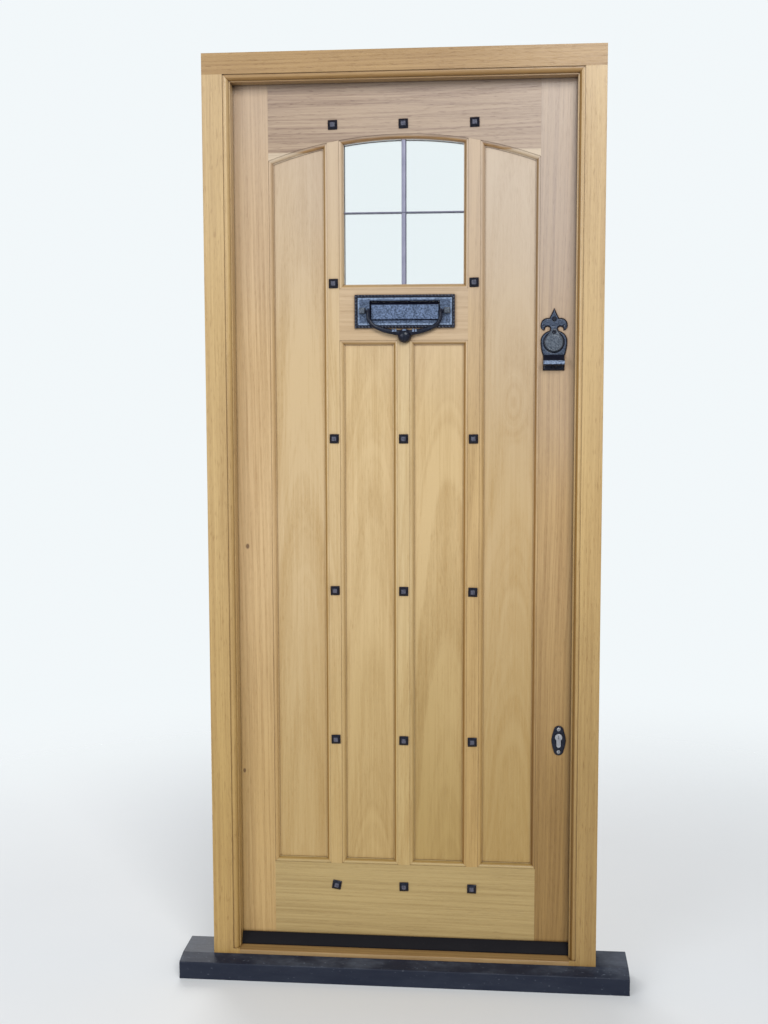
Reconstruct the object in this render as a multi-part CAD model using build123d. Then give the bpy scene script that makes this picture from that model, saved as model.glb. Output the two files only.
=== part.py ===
from build123d import *
from math import asin, cos, degrees, pi, radians, sin, sqrt
import os

# Arched oak front door with its frame, in millimetres.
# X runs to the right seen from outside, the outside faces -Y and +Z is up.
# The origin is on the underside of the sub-sill, below the middle of the frame's outer face.

# Leaf
leaf_width = 813.0
leaf_height = 2032.0
leaf_thick = 44.0
leaf_gap = 3.0

# Frame
frame_jamb_width = 63.0
frame_rebate_width = 15.5
frame_stop_depth = 44.5
frame_flat_width = 47.4
frame_quirk_depth = 3.0
frame_quirk_width = 1.5
frame_ovolo_end = 13.0
frame_ovolo_depth = 12.5
seal_gap = 3.5
head_lap = 10.0
frame_bulge_across = 0.66
frame_bulge_down = 0.18
jamb_moulding_stop = 1.5

# Sub-sill, sill and threshold
sub_sill_half_length = 533.5
sub_sill_projection = 40.0
sub_sill_front = 41.0
sub_sill_height = 49.5
sub_sill_arris = 3.0
drip_groove = 6.0
drip_back = 18.0
sill_nosing = 10.5
sill_arris = 3.0
sill_slope_rise = 5.0
sill_upstand = 24.5
sill_upstand_gap = 2.0
leaf_floor_gap = 8.0
threshold_front = 27.0
threshold_wall = 3.0
threshold_lap = 6.0
threshold_toe = 2.5
threshold_bend_back = 8.5
threshold_bend_up = 17.5
threshold_end_gap = 0.5

# Seals
seal_width = 9.0
seal_inset = 2.0
seal_foot_gap = 1.0
seal_touch = 0.3
seal_lap_gap = 0.5

# Layout of the leaf, as sight lines of its openings
stile_sight = 104.3
muntin_centre = 163.0
muntin_sight_width = 49.2
centre_muntin_sight_width = 50.0
bottom_rail_sight = 194.0
low_panel_sight_height = 1233.0
window_sill_above_panel = 139.8
arch_radius = 898.0
arch_crown_below_top = 136.6

# Stuck moulding of the leaf
mould_width = 11.0
mould_depth = 11.0
mould_quirk_depth = 1.4
mould_quirk_width = 0.9
mould_fillet_width = 1.6
mould_fillet_depth = 2.2
mould_bulge_across = 0.68
mould_bulge_down = 0.34

# Panels, grooves and joints
groove_depth = 13.0
panel_edge_gap = 2.0
panel_fit = 0.1
tenon_thick = 14.0
tenon_fit = 0.1
tenon_end_gap = 0.8
rail_tenon = 58.0
rail_tenon_shoulder = 16.0
rail_tenon_inset = 40.0
tenon_root = 1.0
arch_tenon_root = 8.0
muntin_tenon = 24.0
muntin_tenon_width = 18.0
mid_rail_tenon = 12.0
mid_rail_tenon_inset = 12.0
frame_tenon = 34.0
frame_tenon_thick = 16.0
jamb_tenon_inner = 6.0
jamb_tenon_outer = 12.0
jamb_tenon_back = 12.0
jamb_tenon_root = 30.0
sill_tenon_back = 4.0
sill_tenon_shoulder = 2.0

# Room left past the work by every cut
cut_past = 1.0
cut_clear = 5.0
cut_long = 50.0
bevel_angle = 45.0
flush = 0.01

# Glazed light
pane_thick = 4.0
pane_cavity = 12.0
pane_cover = 9.0
spacer_width = 7.0
spacer_inset = 1.0
bead_fit = 0.5
bead_splay = 7.0
bead_lip = 4.0
came_width = 9.0
came_height = 1.6

# Face studs
stud_size = 21.0
stud_top = 12.0
stud_base = 1.6
stud_rise = 5.0
stud_shank_radius = 2.0
stud_shank = 18.0
stud_pitch = 360.0
stud_bottom_row = 130.0
stud_rows = 6
stud_window_row = 4
stud_turned = 10.0
shank_fit = 0.05

# Letter plate
plate_width = 232.0
plate_height = 76.0
plate_thick = 5.0
plate_border = 6.0
plate_border_rise = 2.0
plate_border_splay = 25.0
plate_corner = 2.0
plate_above_panel = 77.2
plate_offset = 3.0
slot_width = 158.0
slot_height = 41.0
slot_above_centre = 1.5
slot_clearance = 3.0
flap_clearance = 0.8
flap_thick = 4.0
flap_pin_radius = 2.0
flap_pin_end = 3.0
flap_axis_back = 3.0
flap_axis_drop = 3.0
flap_front = 5.0
flap_top_gap = 2.0
flap_roll_radius = 2.9
flap_neck_inset = 1.0
flap_neck_drop = 5.5
flap_ear_thick = 2.5
flap_ear_back = 3.5
flap_ear_low = 4.0
flap_ear_high = 3.5
lug_size = 15.0
lug_top = 11.0
lug_rise = 12.0
lug_span = 98.5
pin_fit = 0.05
bolt_radius = 2.5
bolt_clear = 1.0
bolt_end = 2.0
nut_across = 12.0
nut_thick = 5.0
bolt_washer_radius = 8.0
bolt_washer_thick = 1.2

# Knocker bail; its outline is the right half about the hinge line, and each step of an outline is
# a line to one point or an arc through two
bail_arm_span = 84.0
bail_arm_width = 8.0
bail_drop = 50.0
bail_bar = 10.0
bail_thick = 8.0
bail_arris = 1.6
bail_pin_radius = 2.5
bail_pin_root = 1.0
bail_pin_reach = 9.0
bail_standoff = 2.6
bail_outer_start = (bail_arm_span + bail_arm_width / 2, bail_arm_width / 2)
bail_outer_steps = (((bail_arm_span + bail_arm_width / 2, -20.0),), ((bail_arm_span - 8.0, -31.0),),
                    ((bail_arm_span * 0.52, 1.5 - bail_drop), (0.0, 1.0 - bail_drop - bail_bar / 2)))
bail_inner_steps = (((0.0, bail_bar / 2 - bail_drop),),
                    ((bail_arm_span * 0.5, 9.5 - bail_drop), (bail_arm_span - 13.0, -24.0)),
                    ((bail_arm_span - bail_arm_width / 2, -15.0),),
                    ((bail_arm_span - bail_arm_width / 2, bail_arm_width / 2),),
                    (bail_outer_start,))
boss_radius = 16.0
boss_nose = 0.62
boss_front = 6.0
boss_drop = 8.0
boss_rest = 0.3

# Cylinder pull with swinging cover
latch_height = 1431.0
latch_backset = 60.0
pull_thick = 5.0
pull_tip = 78.0
pull_half_width = 30.5
pull_foot = 64.0
pull_foot_half_width = 24.5
pull_start = (0.0, pull_tip)
pull_steps = (((4.2, pull_tip - 9.0),), ((11.0, pull_tip - 23.0),),
              ((22.0, pull_tip - 24.0), (pull_half_width, pull_tip - 38.0)),
              ((pull_half_width - 2.0, pull_tip - 47.0), (pull_half_width - 8.5, pull_tip - 51.0)),
              ((pull_half_width - 9.5, pull_tip - 48.0),), ((16.0, pull_tip - 42.0), (8.5, pull_tip - 46.0)),
              ((10.5, pull_tip - 52.0),), ((pull_half_width - 4.0, 16.0), (pull_half_width, 1.0)),
              ((pull_half_width - 1.2, -13.0), (pull_foot_half_width + 1.5, -27.0)),
              ((pull_foot_half_width, -30.0),), ((pull_foot_half_width, -pull_foot),),
              ((0.0, -pull_foot),), (pull_start,))
pull_rivet_below_tip = 25.0
pull_rivet_above_foot = 8.5
pull_lip_reach = 24.0
pull_lip_thick = 4.5
pull_lip_drop = 28.0
pull_lip_inset = 0.5
pull_lip_root = 1.0
pull_lip_bow = (9.0, 7.5)
pull_lip_shoulder = (3.0, 15.0)
pull_lip_nose = 19.5
pull_lip_end = (2.5, 24.0)
pull_lip_hollow = (8.0, 13.5)
cover_radius = 21.0
cover_thick = 4.0
cover_pivot_above = 23.5
cover_ear_radius = 8.0
cover_arris = 1.2
cover_gap = 0.3
rivet_radius = 3.0
rivet_head_radius = 4.6
rivet_head = 2.2
rivet_length = 16.0
rivet_fit = 0.05
rim_body_radius = 15.5
rim_body_inset = 8.0
rim_bore_fit = 0.5
rim_plug_radius = 6.5
plug_fit = 0.05
keyway_half_width = 0.7
keyway_half_height = 4.5
keyway_depth = 12.0
tail_width = 6.0
tail_thick = 1.6
tail_reach = 7.0
tail_root = 1.0

# Rim latch inside
case_width = 84.0
case_height = 66.0
case_depth = 28.0
case_wall = 4.0
case_arris = 3.0
latch_plate_thick = 2.0
latch_plate_inset = 3.0
latch_plate_bore = 5.0
latch_screw_inset = 13.0
latch_screw_rise = 10.0
latch_way_forward = 2.0
latch_bolt_slant = 10.0
latch_bolt_nose = 3.0
latch_bolt_height = 24.0
latch_bolt_depth = 14.0
latch_bolt_length = 34.0
latch_throw = 14.0
latch_knob_radius = 16.0
latch_knob_reach = 24.0
latch_neck_radius = 7.2
latch_neck_reach = 8.0
latch_knob_back = 13.0
latch_knob_rim = 18.5
latch_knob_crown = 10.0
latch_knob_clear = 0.4
latch_spindle_radius = 5.0
latch_spindle_end = 3.0
snib_inset = 10.5
snib_travel = 10.0
snib_size = 9.0
snib_rise = 4.0
snib_lift = 0.3
snib_arris = 1.0
snib_stem = 2.0
snib_foot = 4.0
snib_foot_thick = 3.2
keep_room = 6.5
keep_wall = 2.5
keep_foot_width = 8.0
keep_foot_thick = 3.0
keep_front = 4.0
keep_bolt_room = 1.0
keep_screw_inset = 1.0
keep_screw_rise = 9.0
case_inset = 1.0
slide_fit = 0.3

# Mortice deadlock and profile cylinder
lock_height = 506.0
lock_backset = 40.0
profile_radius = 8.5
profile_lobe_width = 10.0
profile_height = 33.0
profile_proud = 3.0
profile_plug_radius = 6.5
profile_sunk = 2.0
profile_bore_fit = 0.6
profile_case_fit = 0.3
profile_plate_fit = 0.2
profile_keyway_half_width = 0.6
profile_keyway_low = 4.4
profile_keyway_high = 3.4
profile_keyway_depth = 14.0
cam_room = 12.0
cam_tip_room = 1.0
cam_tip_half = 3.5
cam_tip_inset = 0.5
cam_thick = 9.0
cam_radius = 7.6
cam_lever = 15.0
lock_case_thick = 15.0
lock_case_height = 118.0
lock_case_depth = 66.0
lock_case_wall = 2.0
lock_case_below = 42.0
lock_case_fit = 0.5
lock_way = 20.0
forend_fit = 0.05
forend_screw_inset = 9.0
forend_thick = 3.0
forend_width = 22.0
forend_height = 160.0
deadbolt_height = 26.0
deadbolt_thick = 9.0
deadbolt_length = 52.0
deadbolt_throw = 20.0
deadbolt_above = 33.0
strike_wall = 2.0
strike_thick = 2.5
strike_half_height = 54.0
strike_screw_rise = 44.0
strike_box_past = 4.0
strike_room_past = 2.0
strike_bolt_room = 1.0
strike_fit = 0.05
escutcheon_height = 71.0
escutcheon_width = 34.0
escutcheon_thick = 3.0
escutcheon_screw_span = 54.0
escutcheon_screw_length = 14.0
escutcheon_arris = 0.8
escutcheon_side = (escutcheon_width / 2 - 2.2, 13.0)
escutcheon_nick = (escutcheon_width / 2 - 5.5, escutcheon_height / 2 - 11.0)
escutcheon_point = (8.2, escutcheon_height / 2 - 3.5)

# Hinges
hinge_height = 100.0
hinge_leaf_width = 32.0
hinge_leaf_thick = 2.5
hinge_recess = 1.2
hinge_knuckle_radius = 5.5
hinge_knuckle_stand = 0.5
hinge_knuckles = 5
hinge_knuckle_gap = 0.3
hinge_pin_radius = 2.5
hinge_pin_fit = 0.05
hinge_pin_gap = 0.4
hinge_button = 2.0
hinge_button_inset = 1.0
hinge_recess_fit = 0.1
hinge_knuckle_clear = 0.4
hinge_screw_line = 0.55
hinge_screw_stagger = 3.5
hinge_from_top = 150.0
hinge_from_bottom = 225.0
hinge_screws = 3
screw_head_radius = 4.2
screw_shank_radius = 2.0
screw_length = 26.0
screw_fit = 0.05
screw_neck = 0.9

# Frame fixings
fixing_radius = 4.0
fixing_heights = (200.0, 780.0, 1460.0, 2040.0)

# Worked-out places
leaf_half = leaf_width / 2
leaf_front = frame_stop_depth + seal_gap
leaf_back = leaf_front + leaf_thick
leaf_mid = (leaf_front + leaf_back) / 2
frame_depth = leaf_back
cheek = leaf_half + leaf_gap
reveal = cheek - frame_rebate_width
frame_half = reveal + frame_jamb_width
sill_bed = sub_sill_height
nosing_top = sill_bed + sill_nosing
slope_top = nosing_top + sill_slope_rise
sill_top = sill_bed + sill_upstand
upstand_front = leaf_front - sill_upstand_gap
leaf_bottom = sill_top + leaf_floor_gap
leaf_top = leaf_bottom + leaf_height
reveal_top = leaf_top - head_lap
cheek_top = leaf_top + leaf_gap
frame_top = reveal_top + frame_jamb_width
flat_edge = frame_half - frame_flat_width
flat_edge_top = frame_top - frame_flat_width

stile_in = leaf_half - stile_sight
stile_flat = stile_in + mould_width
muntin_out = muntin_centre + muntin_sight_width / 2
muntin_in = muntin_centre - muntin_sight_width / 2
muntin_flat_out = muntin_out - mould_width
muntin_flat_in = muntin_in + mould_width
centre_sight = centre_muntin_sight_width / 2
centre_flat = centre_sight - mould_width
low_sight = leaf_bottom + bottom_rail_sight
low_flat = low_sight - mould_width
mid_low_sight = low_sight + low_panel_sight_height
mid_low_flat = mid_low_sight + mould_width
window_sight = mid_low_sight + window_sill_above_panel
window_flat = window_sight - mould_width
arch_centre = leaf_top - arch_crown_below_top - arch_radius
arch_flat_radius = arch_radius + mould_width

pivot_x = -(leaf_half + leaf_gap / 2)
pivot_y = leaf_back + hinge_knuckle_radius + hinge_knuckle_stand
plate_z = mid_low_sight + plate_above_panel
latch_x = leaf_half - latch_backset
latch_z = leaf_bottom + latch_height
lock_x = leaf_half - lock_backset
lock_z = leaf_bottom + lock_height


def arch_z(x, radius):
    """Height of the concentric arch of this radius above the point x."""
    return arch_centre + sqrt(radius**2 - x**2)


def block(x0, x1, y0, y1, z0, z1):
    """Box between two corners."""
    middle = Pos((x0 + x1) / 2, (y0 + y1) / 2, (z0 + z1) / 2)
    return middle * Box(abs(x1 - x0), abs(y1 - y0), abs(z1 - z0))


def rod_x(x0, x1, y, z, radius):
    """Round bar along X."""
    return Pos((x0 + x1) / 2, y, z) * Rot(0, 90, 0) * Cylinder(radius, abs(x1 - x0))


def rod_y(x, y0, y1, z, radius):
    """Round bar along Y."""
    return Pos(x, (y0 + y1) / 2, z) * Rot(90, 0, 0) * Cylinder(radius, abs(y1 - y0))


def rod_z(x, y, z0, z1, radius):
    """Round bar along Z."""
    return Pos(x, y, (z0 + z1) / 2) * Cylinder(radius, abs(z1 - z0))


def slab(shape, y0, y1):
    """Flat shape drawn in X and Z, made solid from y0 to y1."""
    return extrude(Plane.XZ.offset(-y1) * shape, y1 - y0, dir=(0, -1, 0))


def eased_slab(shape, front, back, arris, way=-1):
    """Slab whose shown edges are bevelled; way -1 shows the face at front, 1 the one at back."""
    if way < 0:
        base = slab(shape, front + arris, back)
        face = Plane.XZ.offset(-(front + arris)) * shape
    else:
        base = slab(shape, front, back - arris)
        face = Plane.XZ.offset(-(back - arris)) * shape
    return base + extrude(face, arris, dir=(0, way, 0), taper=bevel_angle)


def along_x(shape, x0, x1):
    """Section drawn in Y and Z, made solid from x0 to x1."""
    return extrude(Plane.YZ.offset(x0) * shape, x1 - x0, dir=(1, 0, 0))


def along_z(shape, z0, z1):
    """Section drawn in X and Y, made solid from z0 to z1."""
    return extrude(Plane.XY.offset(z0) * shape, z1 - z0, dir=(0, 0, 1))


def traced(start, steps):
    """Joined edges from a start point, each step a line to one point or an arc through two."""
    here = start
    edges = []
    for step in steps:
        edges.append(Line(here, step[0]) if len(step) == 1 else ThreePointArc(here, *step))
        here = step[-1]
    outline = edges[0]
    for edge in edges[1:]:
        outline += edge
    return outline


def group(solids):
    """Separate solids kept together under one name."""
    return Compound(children=[solid for item in solids for solid in item.solids()])


def bay_outline(x0, x1, z0, grow):
    """Outline of an opening under the arch, grown evenly past its sight lines."""
    left = x0 - grow
    right = x1 + grow
    radius = arch_radius + grow
    middle = (left + right) / 2
    base = Polyline((left, arch_z(left, radius)), (left, z0 - grow), (right, z0 - grow),
                    (right, arch_z(right, radius)))
    crown = ThreePointArc((right, arch_z(right, radius)), (middle, arch_z(middle, radius)),
                          (left, arch_z(left, radius)))
    return make_face(base + crown)


def square_outline(x0, x1, z0, z1, grow):
    """Outline of a square-headed opening, grown evenly past its sight lines."""
    return Polygon((x0 - grow, z0 - grow), (x1 + grow, z0 - grow),
                   (x1 + grow, z1 + grow), (x0 - grow, z1 + grow))


def tall_bay(side, grow):
    """Outline of the tall panel opening on one side, -1 left and 1 right."""
    if side < 0:
        return bay_outline(-stile_in, -muntin_out, low_sight, grow)
    return bay_outline(muntin_out, stile_in, low_sight, grow)


def low_bay(side, grow):
    """Outline of the lower centre panel opening on one side."""
    if side < 0:
        return square_outline(-muntin_in, -centre_sight, low_sight, mid_low_sight, grow)
    return square_outline(centre_sight, muntin_in, low_sight, mid_low_sight, grow)


def window_bay(grow):
    """Outline of the glazed opening."""
    return bay_outline(-muntin_in, muntin_in, window_sight, grow)


def moulding_section(place):
    """Air above the quirked ovolo, with place turning distance in from the flat and depth into a point."""
    start = (mould_quirk_width, mould_quirk_depth)
    end = (mould_width - mould_fillet_width, mould_depth - mould_fillet_depth)
    bulge = (start[0] + (end[0] - start[0]) * mould_bulge_across,
             start[1] + (end[1] - start[1]) * mould_bulge_down)
    curve = ThreePointArc(place(*start), place(*bulge), place(*end))
    rest = Polyline(place(*end), place(mould_width + cut_clear, end[1]),
                    place(mould_width + cut_clear, -cut_clear), place(0, -cut_clear),
                    place(0, mould_quirk_depth), place(*start))
    return make_face(curve + rest)


def upright_moulding(x, way):
    """Air cut along an upright edge at x, both faces, with the opening towards way."""
    front = moulding_section(lambda u, v: (x + way * u, leaf_front + v))
    back = moulding_section(lambda u, v: (x + way * u, leaf_back - v))
    return [along_z(face, leaf_bottom - cut_long, leaf_top + cut_long) for face in (front, back)]


def level_moulding(z, way):
    """Air cut along a level edge at z, both faces, with the opening towards way."""
    front = moulding_section(lambda u, v: (leaf_front + v, z + way * u))
    back = moulding_section(lambda u, v: (leaf_back - v, z + way * u))
    return [along_x(face, -leaf_half - cut_long, leaf_half + cut_long) for face in (front, back)]


def arch_moulding():
    """Air cut along the underside of the arch, both faces, turned about the arch's centre."""
    sweep_half = degrees(asin(leaf_half / arch_radius))
    turn = Axis((0, 0, arch_centre), (0, 1, 0))
    cuts = []
    for face_y, way in ((leaf_front, 1), (leaf_back, -1)):
        section = moulding_section(
            lambda u, v: (face_y + way * v, arch_centre + arch_flat_radius - u))
        start = (Plane.YZ * section).rotate(turn, -sweep_half)
        cuts.append(revolve(start, turn, 2 * sweep_half))
    return cuts


def panel_grooves():
    """Grooves that hold the four panels, and the rebate that holds the glass."""
    groove_front = leaf_front + mould_depth
    groove_back = leaf_back - mould_depth
    cuts = [slab(tall_bay(side, groove_depth), groove_front, groove_back) for side in (-1, 1)]
    cuts += [slab(low_bay(side, groove_depth), groove_front, groove_back) for side in (-1, 1)]
    cuts.append(slab(window_bay(groove_depth), groove_front, leaf_back + cut_clear))
    return cuts


def cut_all(shape, cuts):
    """Shape with every cut taken out of it."""
    for cut in cuts:
        shape = shape - cut
    return shape


def tenon(x0, x1, z0, z1, spare=0.0, end=0.0, along="x"):
    """Tenon in the middle of the leaf; spare and end open it into its mortice."""
    half = tenon_thick / 2 + spare
    if along == "x":
        return block(x0 - end, x1 + end, leaf_mid - half, leaf_mid + half, z0 - spare, z1 + spare)
    return block(x0 - spare, x1 + spare, leaf_mid - half, leaf_mid + half, z0 - end, z1 + end)


def bottom_rail_tenon(side, spare=0.0, end=0.0):
    """Tenon of the bottom rail into one stile."""
    x0, x1 = sorted((side * (stile_flat - tenon_root), side * (stile_flat + rail_tenon)))
    z0 = leaf_bottom + rail_tenon_inset
    return tenon(x0, x1, z0, low_flat - rail_tenon_shoulder, spare, end)


def top_rail_tenon(side, spare=0.0, end=0.0):
    """Tenon of the top rail into one stile."""
    x0, x1 = sorted((side * (stile_flat - tenon_root), side * (stile_flat + rail_tenon)))
    z0 = arch_z(stile_flat, arch_flat_radius) + rail_tenon_shoulder
    return tenon(x0, x1, z0, leaf_top - rail_tenon_inset, spare, end)


def muntin_foot(x, spare=0.0, end=0.0):
    """Tenon of a muntin into the bottom rail."""
    half = muntin_tenon_width / 2
    return tenon(x - half, x + half, low_flat - muntin_tenon, low_flat + tenon_root, spare, end, "z")


def muntin_head(side, spare=0.0, end=0.0):
    """Tenon of a tall muntin into the top rail."""
    half = muntin_tenon_width / 2
    shoulder = arch_z(muntin_centre, arch_flat_radius)
    x = side * muntin_centre
    foot = shoulder - arch_tenon_root
    return tenon(x - half, x + half, foot, shoulder + muntin_tenon, spare, end, "z")


def centre_muntin_head(spare=0.0, end=0.0):
    """Tenon of the centre muntin into the mid rail."""
    half = muntin_tenon_width / 2
    foot = mid_low_flat - tenon_root
    return tenon(-half, half, foot, mid_low_flat + muntin_tenon, spare, end, "z")


def mid_rail_end(side, spare=0.0, end=0.0):
    """Tenon of the mid rail into one tall muntin."""
    x0, x1 = sorted((side * (muntin_flat_in - tenon_root), side * (muntin_flat_in + mid_rail_tenon)))
    z0 = mid_low_flat + mid_rail_tenon_inset
    return tenon(x0, x1, z0, window_flat - mid_rail_tenon_inset, spare, end)


def stud_places():
    """Centres of the seventeen studs, as x, z and turn."""
    bottom = leaf_bottom + stud_bottom_row
    rows = [bottom + n * stud_pitch for n in range(stud_rows)]
    places = []
    for n, z in enumerate(rows):
        for x in (-muntin_centre, 0.0, muntin_centre):
            in_window = n == stud_window_row and x == 0.0
            turned = stud_turned if n == 0 and x < 0 else 0.0
            if not in_window:
                places.append((x, z, turned))
    return places


def stud_holes():
    """Holes for the studs' shanks."""
    radius = stud_shank_radius + shank_fit
    return [rod_y(x, leaf_front - cut_past, leaf_front + stud_shank + cut_past, z, radius)
            for x, z, _ in stud_places()]


def studs():
    """Square cut-iron studs with a flat-topped pyramid head and a driven shank."""
    made = []
    for x, z, turned in stud_places():
        base = extrude(Plane.XZ * Rectangle(stud_size, stud_size), stud_base)
        low = Plane.XZ.offset(stud_base) * Rectangle(stud_size, stud_size)
        high = Plane.XZ.offset(stud_base + stud_rise) * Rectangle(stud_top, stud_top)
        shank = rod_y(0, 0, stud_shank, 0, stud_shank_radius)
        head = base + loft([low.face(), high.face()])
        made.append(Pos(x, leaf_front, z) * Rot(0, turned, 0) * (head + shank))
    return group(made)


def stile_region(side):
    """Front shape of a stile, mitred where its moulding meets the rails."""
    top_flat = arch_z(stile_flat, arch_flat_radius)
    top_sight = arch_z(stile_in, arch_radius)
    points = [(leaf_half, leaf_bottom), (leaf_half, leaf_top), (stile_flat, leaf_top),
              (stile_flat, top_flat), (stile_in, top_sight), (stile_in, low_sight),
              (stile_flat, low_flat), (stile_flat, leaf_bottom)]
    return Polygon(*[(side * x, z) for x, z in points])


def stile_blank(side):
    """Stile with its moulding, groove and mortices, before its ironmongery."""
    shape = slab(stile_region(side), leaf_front, leaf_back)
    shape = cut_all(shape, upright_moulding(side * stile_flat, -side))
    shape = shape - slab(tall_bay(side, groove_depth), leaf_front + mould_depth,
                         leaf_back - mould_depth)
    shape = shape - bottom_rail_tenon(side, tenon_fit, tenon_end_gap)
    return shape - top_rail_tenon(side, tenon_fit, tenon_end_gap)


def hinge_stile():
    """Left stile, recessed for the hinges."""
    return cut_all(stile_blank(-1), hinge_leaf_recesses() + hinge_screw_holes("leaf"))


def lock_stile():
    """Right stile, morticed for the deadlock and bored for both cylinders."""
    shape = stile_blank(1)
    shape = shape - lock_mortice()
    shape = shape - profile_prism(leaf_front - cut_past, leaf_back + cut_past, profile_bore_fit)
    shape = shape - rod_y(latch_x, leaf_front - cut_past, leaf_back + cut_past, latch_z,
                          rim_body_radius + rim_bore_fit)
    return cut_all(shape, latch_screw_holes() + pull_screw_holes() + escutcheon_screw_holes())


def bottom_rail():
    """Deep bottom rail, mitred to every upright."""
    points = [(stile_flat, leaf_bottom), (stile_flat, low_flat), (stile_in, low_sight),
              (muntin_out, low_sight), (muntin_flat_out, low_flat), (muntin_flat_in, low_flat),
              (muntin_in, low_sight), (centre_sight, low_sight), (centre_flat, low_flat)]
    outline = [(-x, z) for x, z in points] + points[::-1]
    shape = slab(Polygon(*outline), leaf_front, leaf_back)
    shape = cut_all(shape, level_moulding(low_flat, 1) + panel_grooves()[:4] + stud_holes())
    for side in (-1, 1):
        shape = shape + bottom_rail_tenon(side)
    for x in (-muntin_centre, 0.0, muntin_centre):
        shape = shape - muntin_foot(x, tenon_fit, tenon_end_gap)
    return shape


def top_rail_region():
    """Front shape of the top rail, whose underside is one arch across the three bays."""
    def arc(x0, x1):
        middle = (x0 + x1) / 2
        return ThreePointArc((x0, arch_z(x0, arch_radius)), (middle, arch_z(middle, arch_radius)),
                             (x1, arch_z(x1, arch_radius)))

    def flat(x):
        return (x, arch_z(x, arch_flat_radius))

    def sight(x):
        return (x, arch_z(x, arch_radius))

    outline = Polyline(sight(-stile_in), flat(-stile_flat), (-stile_flat, leaf_top),
                       (stile_flat, leaf_top), flat(stile_flat), sight(stile_in))
    outline += arc(stile_in, muntin_out)
    outline += Polyline(sight(muntin_out), flat(muntin_flat_out), flat(muntin_flat_in),
                        sight(muntin_in))
    outline += arc(muntin_in, -muntin_in)
    outline += Polyline(sight(-muntin_in), flat(-muntin_flat_in), flat(-muntin_flat_out),
                        sight(-muntin_out))
    outline += arc(-muntin_out, -stile_in)
    return make_face(outline)


def top_rail():
    """Top rail cut to the arch."""
    shape = slab(top_rail_region(), leaf_front, leaf_back)
    shape = cut_all(shape, arch_moulding() + panel_grooves() + stud_holes())
    for side in (-1, 1):
        shape = shape + top_rail_tenon(side)
        shape = shape - muntin_head(side, tenon_fit, tenon_end_gap)
    return shape


def tall_muntin(side):
    """Full-height muntin between a tall panel and the middle bays."""
    points = [(muntin_flat_in, low_flat), (muntin_flat_out, low_flat), (muntin_out, low_sight),
              (muntin_out, arch_z(muntin_out, arch_radius)),
              (muntin_flat_out, arch_z(muntin_flat_out, arch_flat_radius)),
              (muntin_flat_in, arch_z(muntin_flat_in, arch_flat_radius)),
              (muntin_in, arch_z(muntin_in, arch_radius)), (muntin_in, window_sight),
              (muntin_flat_in, window_flat), (muntin_flat_in, mid_low_flat),
              (muntin_in, mid_low_sight), (muntin_in, low_sight)]
    shape = slab(Polygon(*[(side * x, z) for x, z in points]), leaf_front, leaf_back)
    shape = cut_all(shape, upright_moulding(side * muntin_flat_in, -side))
    shape = cut_all(shape, upright_moulding(side * muntin_flat_out, side))
    shape = cut_all(shape, panel_grooves() + stud_holes())
    shape = shape - mid_rail_end(side, tenon_fit, tenon_end_gap)
    return shape + muntin_foot(side * muntin_centre) + muntin_head(side)


def centre_muntin():
    """Short muntin between the two lower centre panels."""
    points = [(centre_flat, low_flat), (centre_sight, low_sight), (centre_sight, mid_low_sight),
              (centre_flat, mid_low_flat)]
    outline = points + [(-x, z) for x, z in points[::-1]]
    shape = slab(Polygon(*outline), leaf_front, leaf_back)
    for way in (-1, 1):
        shape = cut_all(shape, upright_moulding(way * centre_flat, way))
    shape = cut_all(shape, panel_grooves()[2:4] + stud_holes())
    return shape + muntin_foot(0.0) + centre_muntin_head()


def mid_rail():
    """Rail between the window and the lower panels, cut through for the letters."""
    points = [(centre_flat, mid_low_flat), (centre_sight, mid_low_sight), (muntin_in, mid_low_sight),
              (muntin_flat_in, mid_low_flat), (muntin_flat_in, window_flat),
              (muntin_in, window_sight)]
    outline = points + [(-x, z) for x, z in points[::-1]]
    shape = slab(Polygon(*outline), leaf_front, leaf_back)
    shape = cut_all(shape, level_moulding(mid_low_flat, -1) + level_moulding(window_flat, 1))
    shape = cut_all(shape, panel_grooves()[2:] + [letter_aperture()] + letter_bolt_holes())
    for side in (-1, 1):
        shape = shape + mid_rail_end(side)
    return shape - centre_muntin_head(tenon_fit, tenon_end_gap)


def panel(outline):
    """Flat oak panel that floats in its grooves."""
    return slab(outline, leaf_front + mould_depth + panel_fit, leaf_back - mould_depth - panel_fit)


def glass_front():
    """Depth of the outer pane's outer face."""
    return leaf_front + mould_depth


def outer_glass():
    """Outer pane of the sealed unit."""
    return slab(window_bay(pane_cover), glass_front(), glass_front() + pane_thick)


def inner_glass():
    """Inner pane of the sealed unit."""
    back = glass_front() + 2 * pane_thick + pane_cavity
    return slab(window_bay(pane_cover), back - pane_thick, back)


def glass_spacer():
    """Bar that parts the two panes all round, hidden behind the moulding."""
    y0 = glass_front() + pane_thick
    edge = pane_cover - spacer_inset
    ring = slab(window_bay(edge), y0, y0 + pane_cavity)
    return ring - slab(window_bay(edge - spacer_width), y0, y0 + pane_cavity)


def came_section(place):
    """Half-round section of a lead strip, with place turning width and height into a point."""
    half = came_width / 2
    return make_face(ThreePointArc(place(-half, 0), place(0, came_height), place(half, 0))
                     + Line(place(half, 0), place(-half, 0)))


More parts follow.
